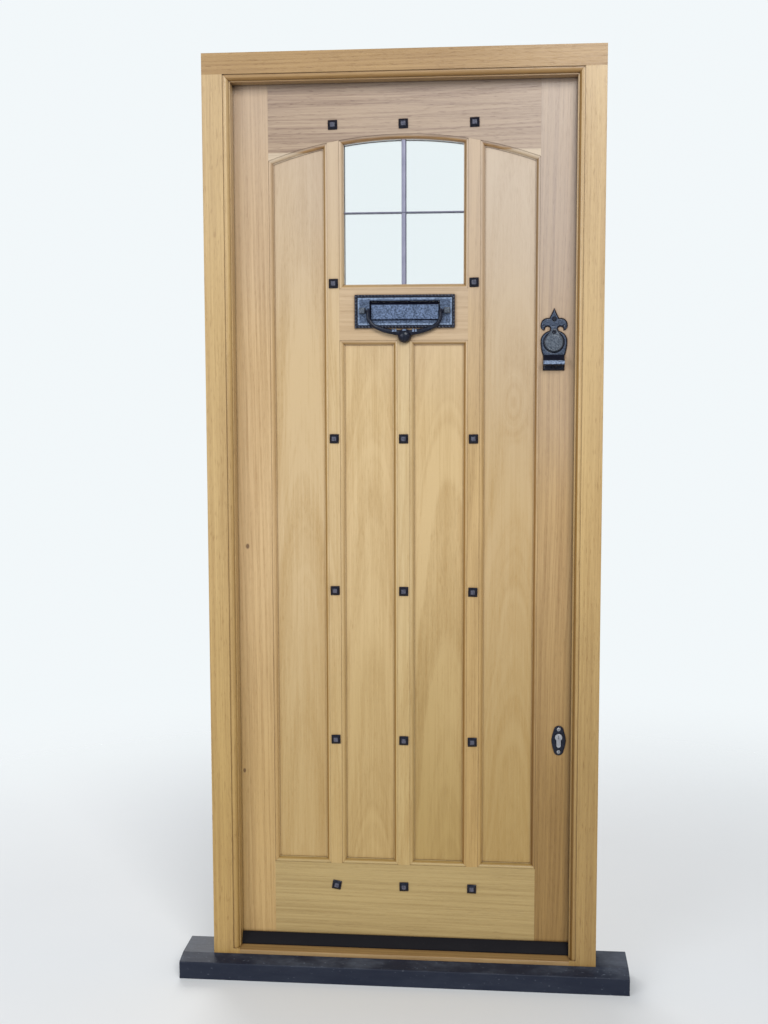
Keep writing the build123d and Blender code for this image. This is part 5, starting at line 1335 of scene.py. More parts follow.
@dataclass
class LetterPlate:
    """Cast letter plate: hammered field, cut recess round the flap, roped border and two lugs."""

    iron: bpy.types.Material
    dark: bpy.types.Material
    worn: bpy.types.Material
    slot_shade: bpy.types.Material
    edge: bpy.types.Material
    rope_iron: bpy.types.Material
    width: float = 232.0
    height: float = 76.0
    thick: float = 5.0
    border: float = 6.0
    border_rise: float = 2.0
    border_slope: float = 1.6
    slot_width: float = 158.0
    slot_height: float = 41.0
    slot_lift: float = 1.5
    slot_edge: float = 5.0
    edge_rise: float = 0.5
    slot_groove: tuple = (3.2, 0.9, 0.9)
    rounding: float = 1.2
    lug: float = 15.0
    lug_span: float = 98.5
    lug_rise: float = 0.6
    lug_taper: float = 1.8
    ear: float = 2.2
    ear_drop: float = 7.0
    rope_pitch: float = 7.8
    rope_inset: float = 2.3
    rope_sunk: float = 1.6
    rope_lean: float = 0.65
    bead: tuple = (0.0034, 0.0023)
    # Widths of the painted highlight band inside the border, of the dark border, and of the painted shade
    # beside, over and under the slot.
    highlight_band: float = 4.6
    dark_band: float = 0.9
    shade_beside: float = 2.8
    shade_over: float = 2.4
    shade_under: float = 2.0

    def __post_init__(self) -> None:
        """Reads the plate's place from the solid."""
        self.x, self.z = middle_of("letter_plate")
        self.back = leaf_face()
        self.face = self.back - self.thick
        self.middle = self.z + self.slot_lift

    def over_border(self, across: float, up: float) -> float:
        """How far a point lies past the border's inner edge."""
        return max(across - self.width / 2, up - self.height / 2) + self.border

    def rise(self, x: float, z: float, near: float) -> float:
        """Height of the plate's face over its back."""
        across = abs(x - self.x)
        border = self.over_border(across, abs(z - self.z))
        half = self.border_slope / 2
        lift = self.thick
        if border > -half:
            lift += self.border_rise * max(0.0, min(1.0, (border + half) / self.border_slope))
        slot = max(across - self.slot_width / 2, abs(z - self.middle) - self.slot_height / 2)
        if 0.0 <= slot < self.slot_edge:
            lift += self.edge_rise - groove(slot, *self.slot_groove)
        ease = max(0.0, self.rounding - near) / self.rounding
        return lift - ease * ease

    def build(self) -> None:
        """Builds the plate, its lugs and its roped border."""
        outline = oblong(self.x, self.z, self.width / 2, self.height / 2)
        slot = oblong(self.x, self.middle, self.slot_width / 2, self.slot_height / 2)
        parts = [CastRelief(outline, self.back, self.rise, [slot], spacing=1.5, hammer=0.32).mesh()]
        low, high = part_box("letter_plate")
        half = self.lug / 2
        for side in (-1, 1):
            x = self.x + side * self.lug_span
            parts.append(bevelled_block((x - half, low.y / MM, self.middle - half),
                                        (x + half, self.face + self.lug_rise, self.middle + half),
                                        self.lug_taper, 0.9, 3))
            parts.append(lathe([(0, -0.9), (2.6, -0.7), (3.4, 0.1), (3.4, 0.6), (0, 0.6)],
                               (x, low.y / MM + 0.5, self.middle), 20))
            inner = self.x + side * (self.slot_width / 2 + 0.2)
            outer = self.x + side * (self.slot_width / 2 + 0.2 + self.ear)
            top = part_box("letter_flap")[1].z / MM
            parts.append(bevelled_block((min(inner, outer), self.back - 0.5, top - self.ear_drop),
                                        (max(inner, outer), high.y / MM, top + 0.4), 0.0, 0.4))
        piece = eased_piece("letter_plate_casting", joined(parts), self.iron, Body.LEAF)
        # Painted light: the slot's edge takes the matte shade iron as painted shade, and a band inside the
        # border takes the bright iron as a painted highlight.
        toned(piece, (self.dark, self.worn, self.slot_shade, self.edge), self.tone)
        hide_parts("letter_plate")
        self.rope()

    def tone(self, spot: Vector, square: float) -> int:
        """Dark border, worn lugs, painted shade round the slot where the recess is shaded, and a painted
        highlight band inside the border.
        """
        across, over = abs(spot.x - self.x), spot.z - self.middle
        border = self.over_border(across, abs(spot.z - self.z))
        if border > -self.dark_band:
            return 1
        if spot.y < self.face - 1.0 and abs(over) < self.lug:
            return 2
        slot = max((across - self.slot_width / 2) / self.shade_beside,
                   (over - self.slot_height / 2) / self.shade_over,
                   (-over - self.slot_height / 2) / self.shade_under)
        if slot < 1.0:
            return 3
        return 4 if border > -self.highlight_band else 0

    def rope(self) -> None:
        """The rope that runs round the border, bead after bead."""
        recipe = Recipe("rope_border")
        step = recipe.ask("Pitch", self.rope_pitch * MM)
        length = recipe.ask("Bead Length", self.bead[0])
        girth = recipe.ask("Bead Girth", self.bead[1])
        lean = recipe.ask("Lean", self.rope_lean)
        even = recipe.add("GeometryNodeResampleCurve", {"mode": "LENGTH"}, {
            "Curve": recipe.line(), "Length": step})
        bead = recipe.add("GeometryNodeMeshUVSphere", {}, {"Segments": 10, "Rings": 7, "Radius": 1.0})
        tangent = recipe.add("GeometryNodeInputTangent")
        along = recipe.add("FunctionNodeAlignRotationToVector", {"axis": "X"}, {"Vector": tangent.outputs[0]})
        facing = recipe.add("FunctionNodeAxisAngleToRotation", {}, {"Axis": (0.0, 1.0, 0.0), "Angle": lean})
        turned = recipe.add("FunctionNodeRotateRotation", {"rotation_space": "GLOBAL"}, {
            "Rotation": along.outputs[0], "Rotate By": facing.outputs[0]})
        recipe.finish(recipe.scatter(even.outputs[0], bead.outputs["Mesh"], turned.outputs[0],
                                     recipe.vector(length, girth, girth)), smooth=True)
        path = oblong(0.0, 0.0, self.width / 2 - self.rope_inset, self.height / 2 - self.rope_inset)
        depth = self.face - self.border_rise + self.rope_sunk
        points = [Vector(((self.x + px) * MM, depth * MM, (self.z + pz) * MM)) for px, pz in path]
        recipe.make("letter_plate_rope", line_carrier("rope_line", points, True), self.rope_iron, Body.LEAF,
                    Slot.IRON, Pitch=self.rope_pitch * MM)


@dataclass
class Knocker:
    """The bail that hangs over the letter plate, with its round striking boss."""

    iron: bpy.types.Material
    # The bright iron of the painted highlights.
    worn: bpy.types.Material
    flatness: float = 0.66
    slim: float = 4.2
    stout: float = 6.5
    arm: float = 84.3
    hang: float = 39.5
    stand_off: float = 11.6
    boss_radius: float = 16.0
    boss_drop: float = 58.0
    collars: tuple = ((20.5, 7.8), (26.5, 7.0))
    collar_drop: float = 50.2
    collar_climb: float = 0.055
    end_collar: float = 5.2
    pin_reach: float = 8.7
    pin_radius: float = 2.5
    # Where the painted highlights go on the collars and the boss's cap.
    highlight_from: float = 17.0
    highlight_to: float = 30.0
    highlight_over: float = 48.6
    highlight_middle: float = 4.0
    highlight_cap: float = 5.5

    def __post_init__(self) -> None:
        """Reads the bail's axis from the solids."""
        self.x = middle_of("knocker")[0]
        self.axis_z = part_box("letter_plate")[0].z / MM + self.hang
        self.axis_y = leaf_face() - self.stand_off
        self.boss_z = self.axis_z - self.boss_drop

    def build(self) -> None:
        """Builds the bail, its collars, its pins and its boss."""
        half = [(0, -51.5), (17, -50.6), (34, -48.0), (50, -44.0), (66, -37.5), (77, -29.5), (83, -19),
                (self.arm, -8), (self.arm, 2.5)]
        line = smooth_line([(-px, pz) for px, pz in half[:0:-1]] + half, 6)
        points = [Vector(((self.x + px) * MM, self.axis_y * MM, (self.axis_z + pz) * MM)) for px, pz in line]
        bail = self.recipe().make("knocker_bail", line_carrier("bail_line", points), self.iron, Body.KNOCKER,
                                  Slot.IRON, Slim=self.slim * MM, Stout=self.stout * MM,
                                  Flatness=self.flatness)
        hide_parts("knocker")
        low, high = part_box("knocker")
        front, back, radius = low.y / MM, high.y / MM, self.boss_radius
        profile = [(0, front), (4.0, front + 0.25), (8.2, front + 1.4), (11.6, front + 3.4),
                   (14.2, front + 6.4), (radius - 0.5, front + 10.0), (radius, front + 13.5),
                   (radius - 0.6, front + 17.0), (radius - 1.6, back - 1.0), (radius - 2.6, back), (0, back)]
        parts = [lathe(profile, (self.x, 0.0, self.boss_z), 40, 0.5)]
        for side in (-1, 1):
            for place, size in self.collars:
                level = self.axis_z - self.collar_drop + self.collar_climb * place
                parts.append(self.collar(self.x + side * place, level, size))
            parts.append(self.collar(self.x + side * (self.arm - 0.2), self.axis_z, self.end_collar))
            parts.append(self.pin(self.x + side * self.arm, self.x + side * (self.arm + self.pin_reach)))
        piece = eased_piece("knocker_boss", joined(parts), self.iron, Body.KNOCKER, smooth_angle=50.0)
        # Painted highlights on the collars and the boss's cap.
        toned(piece, (self.worn,), self.tone)

    def tone(self, spot: Vector, square: float) -> int:
        """Painted highlights: the collars and the boss's cap take the bright iron in front."""
        away = abs(spot.x - self.x)
        collar = self.highlight_from < away < self.highlight_to and spot.z > self.axis_z - self.highlight_over
        cap = away < self.highlight_middle and spot.z > self.boss_z + self.boss_radius - self.highlight_cap
        return int(spot.y < self.axis_y and (collar or cap))

    @staticmethod
    def recipe() -> Recipe:
        """A recipe for a bar that is stout in its middle and slim at its ends."""
        recipe = Recipe("bail_bar")
        slim = recipe.ask("Slim", 0.0037)
        stout = recipe.ask("Stout", 0.0054)
        flat = recipe.ask("Flatness", 0.8)
        share = recipe.add("GeometryNodeSplineParameter").outputs["Factor"]
        off = recipe.math("ABSOLUTE", recipe.math("SUBTRACT", share, 0.5))
        girth = recipe.spread(off, 0.0, 0.42, stout, slim)
        rated = recipe.add("GeometryNodeSetCurveRadius", {}, {"Curve": recipe.line(), "Radius": girth})
        level = recipe.add("GeometryNodeSetCurveNormal", {}, {"Curve": rated.outputs[0]})
        bar = recipe.bar(level.outputs[0], flat, 1.0, 14)
        if "Scale" in bar.inputs:
            recipe.fill(bar.inputs["Scale"], recipe.add("GeometryNodeInputRadius").outputs[0])
        recipe.finish(bar.outputs[0], smooth=True)
        return recipe

    def collar(self, x: float, z: float, radius: float) -> bpy.types.Mesh:
        """A rounded bead on the bail.

        Args:
            x: its middle.
            z: its middle.
            radius: its radius.

        Returns:
            The bead's mesh, in metres.
        """
        model = bmesh.new()
        bmesh.ops.create_uvsphere(model, u_segments=16, v_segments=10, radius=radius * MM)
        bmesh.ops.scale(model, vec=(0.42, 0.85, 1.0), verts=model.verts)
        bmesh.ops.translate(model, vec=(x * MM, self.axis_y * MM, z * MM), verts=model.verts)
        return finished(model, "collar", outward=False)

    def pin(self, x0: float, x1: float) -> bpy.types.Mesh:
        """The pin that joins the bail to its lug.

        Args:
            x0: one end.
            x1: other end.

        Returns:
            The pin's mesh, in metres.
        """
        model = bmesh.new()
        radius = self.pin_radius * MM
        bmesh.ops.create_cone(model, cap_ends=True, segments=16, radius1=radius, radius2=radius,
                              depth=abs(x1 - x0) * MM)
        bmesh.ops.rotate(model, cent=(0, 0, 0), matrix=Matrix.Rotation(math.radians(90), 3, "Y"),
                         verts=model.verts)
        bmesh.ops.translate(model, vec=((x0 + x1) / 2 * MM, self.axis_y * MM, self.axis_z * MM),
                            verts=model.verts)
        return finished(model, "pin", outward=False)


@dataclass
class StudRows:
    """The square forged studs, each a little different under the hammer."""

    iron: bpy.types.Material
    # The lighter iron of the painted highlight on the stud tips.
    worn: bpy.types.Material
    size: float = 21.0
    top: float = 11.5
    base: float = 2.0
    pitch: float = 360.0
    row_count: int = 6
    window_row: int = 4
    bent_turn: float = 10.0
    highlight_deep: float = 0.12

    def build(self) -> None:
        """Builds all the studs in one piece."""
        low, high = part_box("studs")
        front, wood = low.y / MM, leaf_face()
        columns = (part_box("left_muntin"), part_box("right_muntin"))
        side = [(a.x + b.x) / 2 for a, b in columns]
        first = low.z + (high.z - low.z - (self.row_count - 1) * self.pitch * MM) / 2
        places = []
        for row in range(self.row_count):
            for column, x in enumerate((side[0], 0.0, side[1])):
                if not (row == self.window_row and column == 1):
                    places.append(Vector((x, wood * MM, first + row * self.pitch * MM)))
        head = linked("stud_head", self.head(self.size / 2, self.top / 2, wood - front))
        piece = self.recipe().make("stud_heads", carrier("stud_points", places), self.iron, Body.LEAF,
                                   Slot.IRON, Head=head, Bent_Turn=math.radians(self.bent_turn))
        bpy.data.objects.remove(head)
        # Painted highlight: the flat tip of each stud takes the lighter peak iron.
        toned(piece, (self.worn,), lambda spot, square: int(spot.y < front + self.highlight_deep))
        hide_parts("studs")

    @staticmethod
    def recipe() -> Recipe:
        """A recipe that sets a head on every point, the first one turned further."""
        recipe = Recipe("stud_rows")
        shape = recipe.helper("Head")
        sway = recipe.ask("Sway", 0.03)
        bent = recipe.ask("Bent Turn", 0.17)
        chance = recipe.chance(recipe.math("MULTIPLY", sway, -1.0), sway, 4)
        index = recipe.add("GeometryNodeInputIndex")
        is_first = recipe.add("FunctionNodeCompare", {"data_type": "INT", "operation": "EQUAL"}, {
            "A": index.outputs[0], "B": 0})
        own = recipe.add("GeometryNodeSwitch", {"input_type": "FLOAT"}, {
            0: is_first.outputs[0], 1: chance, 2: bent})
        turn = recipe.vector(0.0, own.outputs[0], 0.0)
        recipe.finish(recipe.scatter(recipe.entry.outputs[0], shape, turn))
        return recipe

    def head(self, half: float, top: float, reach: float) -> bpy.types.Mesh:
        """One stud head with hammered facets, its back on the origin's plane.

        Args:
            half: half its side.
            top: half the side of its flat.
            reach: how far it stands out.

        Returns:
            The mesh, in metres.
        """
        model = bmesh.new()
        levels = ((half - 0.4, 0.0), (half, 0.5), (half, self.base), (half - 1.0, self.base + 0.7),
                  ((half + top) / 2, (self.base + reach) / 2), (top, reach - 0.3), (top - 1.0, reach))
        around = [(-1, -1), (0, -1), (1, -1), (1, 0), (1, 1), (0, 1), (-1, 1), (-1, 0)]
        rings = []
        for size, out in levels:
            ring = []
            for px, pz in around:
                swell = 1.0 if px and pz else 1.03
                spot = Vector((px * size, out * 2, pz * size))
                wobble = 0.35 * noise.noise(spot * 0.21)
                ring.append(model.verts.new(((px * size * swell + wobble) * MM, -out * MM,
                                             (pz * size * swell + wobble) * MM)))
            rings.append(ring)
        rings.append([model.verts.new((0.0004, -(reach + 0.15) * MM, 0.0003))])
        model.faces.new(rings[0][::-1])
        bridged(model, rings)
        return finished(model, "stud_head")


@dataclass
class LeadCames:
    """Lead cames crossing on both faces of the light, with a blob of solder where they meet."""

    lead: bpy.types.Material
    upright_wide: float = 10.0
    level_wide: float = 8.0
    rise: float = 1.5

    def build(self) -> None:
        """Builds the cames of both panes."""
        low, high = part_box("lead_cross")
        middle_x, middle_z = (low.x + high.x) / 2, self.level(low)
        recipe = Recipe("lead_cames")
        wide = recipe.ask("Half Width", 0.003)
        rise = recipe.ask("Rise", 0.0012)
        even = recipe.add("GeometryNodeResampleCurve", {}, {"Curve": recipe.line(), "Count": 40})
        recipe.finish(recipe.bar(even.outputs[0], wide, rise, 12).outputs[0], smooth=True)
        for name, sign, depth in (("outside", -1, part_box("outer_glass")[0].y),
                                  ("inside", 1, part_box("inner_glass")[1].y)):
            upright = [Vector((middle_x, depth, low.z)), Vector((middle_x, depth, high.z))]
            level = [Vector((low.x, depth, middle_z)), Vector((high.x, depth, middle_z))]
            for way, points, across in (("upright", upright, self.upright_wide),
                                        ("level", level, self.level_wide)):
                recipe.make(f"came_{way}_{name}", line_carrier("came_line", points), self.lead,
                                          Body.LEAF, Slot.LEAD, Half_Width=across / 2 * MM,
                                          Rise=self.rise * MM)
            blob = lathe([(0, sign * 1.5), (1.6, sign * 1.35), (3.0, sign * 0.9), (3.9, sign * 0.2), (0, 0)],
                         (middle_x / MM, depth / MM, middle_z / MM), 20, 0.5)
            eased_piece("solder_" + name, blob, self.lead, Body.LEAF)
        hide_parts("lead_cross")

    @staticmethod
    def level(low: Vector) -> float:
        """Height of the level came, read from the solid's left end."""
        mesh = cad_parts["lead_cross"].data
        ends = [v.co.z for v in mesh.vertices if v.co.x < low.x + 0.0005]
        return (min(ends) + max(ends)) / 2


def traced(start: Point, steps: tuple, parts: int = 8) -> list[Point]:
    """An outline of lines and arcs.

    Args:
        start: first point.
        steps: each step's points: one for a line to it, two for an arc through the first to the second.
        parts: pieces of one arc.

    Returns:
        The outline's points.
    """
    line = []
    here = start
    for step in steps:
        line += [here] if len(step) == 1 else arc_points(here, step[0], step[1], parts)
        here = step[-1]
    line.append(here)
    return line


def both_sides(half: list[Point]) -> list[Point]:
    """Closes a right half, from its top to its foot on the middle line, with its mirror image."""
    return half + [(-x, z) for x, z in half[::-1] if abs(x) > 1e-6]


def ring_of(radius: float, x: float = 0.0, z: float = 0.0, parts: int = 28) -> list[Point]:
    """Points of a circle."""
    turns = [2 * math.pi * n / parts for n in range(parts)]
    return [(x + radius * math.cos(a), z + radius * math.sin(a)) for a in turns]


def oblong(x: float, z: float, half_w: float, half_h: float) -> list[Point]:
    """Corners of an oblong about its middle."""
    return [(x - half_w, z - half_h), (x + half_w, z - half_h), (x + half_w, z + half_h),
            (x - half_w, z + half_h)]


def moved(line: list[Point], x: float, z: float) -> list[Point]:
    """A line moved across and up."""
    return [(px + x, pz + z) for px, pz in line]


def drawn_bar(section: list[Point], x0: float, x1: float, parts: int = 1, dent: float = 0.0,
              ease: float = 0.0) -> bpy.types.Mesh:
    """A bar along X with one section all the way.

    Args:
        section: the section's closed line, as y and z in millimetres.
        x0: its left end.
        x1: its right end.
        parts: how many lengths it is divided into.
        dent: how far hammer marks go in.
        ease: how far each end is drawn in towards the section's middle.

    Returns:
        The mesh, in metres.
    """
    model = bmesh.new()
    my = sum(y for y, _ in section) / len(section)
    mz = sum(z for _, z in section) / len(section)
    stops = [(x0 + (x1 - x0) * n / parts, 0.0) for n in range(parts + 1)]
    if ease:
        stops = [(x0, ease), *((min(max(x, x0 + ease), x1 - ease), 0.0) for x, _ in stops), (x1, ease)]
    rings = []
    for x, drawn in stops:
        ring = []
        for y, z in section:
            reach = math.hypot(y - my, z - mz)
            share = 1.0 - drawn / max(reach, drawn * 2, 1e-6)
            mark = dent * noise.noise(Vector((x, y, z)) * 0.33)
            ring.append(model.verts.new((x * MM, (my + (y - my) * share + mark) * MM,
                                         (mz + (z - mz) * share + mark) * MM)))
        rings.append(ring)
    bridged(model, rings)
    model.faces.new(rings[0][::-1])
    model.faces.new(rings[-1])
    bmesh.ops.triangulate(model, faces=[face for face in model.faces if len(face.verts) > 4])
    bmesh.ops.remove_doubles(model, verts=model.verts, dist=1e-7)
    return finished(model, "bar")


@dataclass
class LetterFlap:
    """The flap behind the slot: hammered face, flange that shuts on the plate's back, roll and pin."""

    iron: bpy.types.Material
    dark: bpy.types.Material
    half_width: float = 78.2
    front: float = 46.0
    back: float = 50.0
    top_drop: float = 2.0
    flange: float = 2.2
    flange_front: float = 48.3
    ear_room: float = 5.0
    roll_radius: float = 2.9
    pin_radius: float = 2.0
    pin_end: float = 3.0
    rounding: float = 1.1
    # Depth of the painted shade band along the flap's top.
    shade_over: float = 1.2

    def build(self) -> None:
        """Builds the flap on its axis."""
        low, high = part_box("letter_flap")
        x = middle_of("letter_flap")[0]
        z0 = low.z / MM
        axis_z = high.z / MM - self.roll_radius
        axis_y = self.back + 1.0
        z1 = axis_z - self.top_drop
        half = self.half_width
        face = CastRelief([(x - half, z0), (x + half, z0), (x + half, z1), (x - half, z1)], self.back,
                          self.rise, spacing=1.6, hammer=0.34, hammer_size=3.6).mesh()
        wide = half + self.flange
        shut = bevelled_block((x - wide, self.flange_front, z0 - self.flange),
                              (x + wide, self.back + 0.2, axis_z - self.ear_room), 0.0, 0.15, 1)
        roll = drawn_bar(moved(ring_of(self.roll_radius, parts=20), axis_y, axis_z), x - half, x + half)
        pin = drawn_bar(moved(ring_of(self.pin_radius, parts=14), axis_y, axis_z),
                        x - half - self.pin_end, x + half + self.pin_end)
        neck = bevelled_block((x - half - 0.3, self.front + 1.0, z1 - 3.5),
                              (x + half + 0.3, axis_y, axis_z + self.roll_radius), 0.0, 0.1, 1)
        mesh = joined([face, shut, roll, pin, neck])
        piece = eased_piece("letter_flap_casting", mesh, self.iron, Body.FLAP)
        # Painted shade: the flap's top band and the parts behind its face take the matte shade iron, a dark
        # line where the gap round the flap is shaded.
        toned(piece, (self.dark,), lambda spot, square: int(
            spot.z > z1 - self.shade_over or self.front + 1.0 < spot.y < self.back - 0.1))
        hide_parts("letter_flap")

    def rise(self, x: float, z: float, near: float) -> float:
        """Height of the flap's face over its back, rounded at its edges."""
        return self.back - self.front - 0.7 * max(0.0, 1 - near / self.rounding) ** 2


@dataclass
class CylinderPull:
    """Fleur-de-lis pull with a bevelled rim, a rolled finger lip, ringed rivets and a teardrop cover."""

    iron: bpy.types.Material
    dark: bpy.types.Material
    worn: bpy.types.Material
    edge: bpy.types.Material
    thick: float = 5.0
    bevel: float = 3.4
    bevel_depth: float = 2.6
    tip: float = 78.0
    half_width: float = 30.5
    foot: float = 64.0
    foot_half: float = 24.5
    way_radius: float = 15.55
    lip_reach: float = 24.0
    lip_drop: float = 28.0
    lip_thick: float = 4.5
    lip_hollow: float = 13.5
    lip_ridge: float = 22.0
    cover_radius: float = 21.0
    cover_ear: float = 8.0
    cover_pivot: float = 23.5
    cover_thick: float = 4.0
    cover_gap: float = 0.3
    rivet_radius: float = 3.0
    rivet_head: float = 4.6
    rivet_rise: float = 2.2
    nose: float = 8.0
    ring_reach: float = 6.0
    ring_groove: tuple = (2.0, 1.4, 1.5)
    cover_sunk: float = 0.4
    collar_drop: float = 41.0
    collar_half: float = 20.0
    collar_groove: tuple = (0.0, 1.5, 0.8)
    curl_place: Point = (23.0, 43.0)
    curl_foot: float = 50.0
    curl_groove: tuple = (4.0, 1.2, 1.1)
    cover_groove: tuple = (-4.2, 0.9, 0.5)
    # Where the painted shade of the groove round the cover lies, and how wide it is.
    shade_at: float = 1.2
    shade_wide: float = 2.4
    square_face: float = 0.88

    def __post_init__(self) -> None:
        """Reads the pull's place from the solid."""
        self.x = middle_of("pull_plate")[0]
        self.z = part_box("pull_plate")[1].z / MM - self.tip
        self.back = leaf_face()
        self.face = self.back - self.thick

    def outline(self) -> list[Point]:
        """The plate's outline about the cylinder's axis."""
        tip, wide, foot_half = self.tip, self.half_width, self.foot_half
        half = traced((0.0, tip), (
            ((4.2, tip - 9),), ((11, tip - 23),), ((22, tip - 24), (wide, tip - 38)),
            ((wide - 2, tip - 47), (wide - 8.5, tip - 51)), ((wide - 9.5, tip - 48),),
            ((16, tip - 42), (8.5, tip - 46)), ((10.5, tip - 52),), ((wide - 4, 16), (wide, 1)),
            ((wide - 1.2, -13), (foot_half + 1.5, -27)), ((foot_half, -30),), ((foot_half, -self.foot),),
            ((0.0, -self.foot),)))
        return both_sides(half)

    def rise(self, x: float, z: float, near: float) -> float:
        """Height of the plate's face over its back."""
        px, pz = abs(x - self.x), z - self.z
        edge = max(0.0, 1.0 - near / self.bevel)
        lift = self.thick - 0.05 - self.bevel_depth * edge ** 1.5
        reach = math.hypot(px, pz)
        if reach < self.cover_radius + self.ring_reach:
            lift -= groove(reach - self.cover_radius, *self.ring_groove)
            lift -= self.cover_sunk if reach < self.cover_radius else 0.0
        if px < self.collar_half:
            collar = abs(pz - (self.tip - self.collar_drop)) + 0.16 * px
            lift -= groove(collar, *self.collar_groove)
        if pz > self.tip - self.curl_foot:
            curl = math.hypot(px - self.curl_place[0], pz - (self.tip - self.curl_place[1]))
            lift -= groove(curl, *self.curl_groove)
        return lift

    def build(self) -> None:
        """Builds the pull, its cover and its rivets."""
        outline = moved(self.outline(), self.x, self.z)
        high = self.z + self.tip - 25.0
        low = self.z - self.foot + 8.5
        pivot = self.z + self.cover_pivot
        holes = [ring_of(self.way_radius, self.x, self.z, 40)]
        holes += [ring_of(self.rivet_radius + 0.05, self.x, z, 20) for z in (high, pivot, low)]
        plate = CastRelief(outline, self.back, self.rise, holes, spacing=1.1, hammer=0.15,
                           hammer_size=3.0).mesh()
        piece = eased_piece("pull_casting", joined([plate, self.lip()]), self.iron, Body.LEAF,
                            smooth_angle=50.0)
        # Painted light: the dark iron lays painted shade on the rim, groove, hollow and foot, and the bright
        # iron a painted highlight on the lip's nose.
        toned(piece, (self.dark, self.edge), self.tone)
        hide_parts("pull_plate")
        self.cover()
        self.rivets("pull_rivet_heads", "pull_rivets", self.face, (high, low))
        over_cover = self.face - self.cover_gap - self.cover_thick
        self.rivets("cover_rivet_head", "cover_rivet", over_cover, (pivot,))

    def tone(self, spot: Vector, square: float) -> int:
        """Painted shade on the rim, the groove round the cover, the lip's hollow and the foot under the lip,
        and a painted highlight on the lip's nose.
        """
        level = spot.z - self.z + self.lip_drop
        if level < 0.5:
            tinted = spot.y < self.face - self.nose and -self.lip_ridge < level < -self.lip_hollow
            return 2 if tinted else 1
        ring = abs(math.hypot(spot.x - self.x, spot.z - self.z) - self.cover_radius - self.shade_at)
        return 1 if square < self.square_face or ring < self.shade_wide else 0

    def lip(self) -> bpy.types.Mesh:
        """The rolled finger lip: hollow above, a round nose and a rough underside."""
        root = self.face + 1.0
        nose = self.face - self.lip_reach
        top = self.z - self.lip_drop
        shoulder, end = (nose + 3.0, top - 15.0), (nose + 2.5, top - 24.0)
        back, low = (end[0] + self.lip_thick, end[1] + 1.0), (root, top - 2 * self.lip_thick)
        section = arc_points((root, top), (self.face - 9.0, top - 7.5), shoulder, 14)
        section += arc_points(shoulder, (nose, top - 19.5), end, 10)
        section += arc_points(end, (end[0] + 2.4, end[1] - 0.7), back, 4)
        section += arc_points(back, (self.face - 8.0, top - 13.5), low, 12)
        section.append(low)
        half = self.foot_half - 0.5
        return drawn_bar(section, self.x - half, self.x + half, 26, 0.45, 0.8)

    def cover(self) -> None:
        """The teardrop cover, rounded at its rim."""
        tilt = math.asin((self.cover_radius - self.cover_ear) / self.cover_pivot)
        full = [tilt - (math.pi + 2 * tilt) * n / 44 for n in range(45)]
        line = [(self.cover_radius * math.cos(a), self.cover_radius * math.sin(a)) for a in full]
        ear = [math.pi - tilt - (math.pi - 2 * tilt) * n / 18 for n in range(19)]
        line += [(self.cover_ear * math.cos(a), self.cover_pivot + self.cover_ear * math.sin(a)) for a in ear]
        hole = ring_of(self.rivet_radius + 0.05, self.x, self.z + self.cover_pivot, 20)
        thick = self.cover_thick

        def rise(x: float, z: float, near: float) -> float:
            """Height of the cover's face over its back."""
            reach = math.hypot(x - self.x, z - self.z)
            lift = thick - 2.3 * max(0.0, 1.0 - near / 2.6) ** 1.7
            return lift - groove(reach - self.cover_radius, *self.cover_groove)

        mesh = CastRelief(moved(line, self.x, self.z), self.face - self.cover_gap, rise, [hole], spacing=1.0,
                          hammer=0.30, hammer_size=3.2).mesh()
        piece = eased_piece("keyhole_cover_casting", mesh, self.worn, Body.COVER, smooth_angle=50.0)
        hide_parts("keyhole_cover")

    def rivets(self, name: str, node: str, face: float, heights: tuple[float, ...]) -> None:
        """Ringed rivet heads, one at each height.

        Args:
            name: the piece's name.
            node: the solid that it stands for.
            face: the surface that the heads sit on.
            heights: their levels, in millimetres.
        """
        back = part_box(node)[1].y / MM - face
        rim, rise, shank = self.rivet_head, self.rivet_rise, self.rivet_radius
        profile = [(0, -rise), (1.1, -rise + 0.15), (1.8, -rise + 0.9), (2.3, -rise + 1.1),
                   (2.8, -rise + 0.7), (3.5, -rise + 0.6), (rim - 0.4, -rise + 1.2), (rim, -0.4), (rim, 0.0),
                   (shank, 0.0), (shank, back), (0, back)]
        head = linked("rivet_head", lathe(profile, (0.0, 0.0, 0.0), 26, 0.35))
        recipe = Recipe("ringed_rivets")
        shape = recipe.helper("Head")
        turn = recipe.vector(0.0, recipe.chance(0.0, 2 * math.pi, 3), 0.0)
        recipe.finish(recipe.scatter(recipe.entry.outputs[0], shape, turn), smooth=True)
        places = [Vector((self.x, face, z)) * MM for z in heights]
        piece = recipe.make(name, carrier("rivet_points", places), self.dark, Body.LEAF, Slot.IRON, Head=head)
        bpy.data.objects.remove(head)
        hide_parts(node)


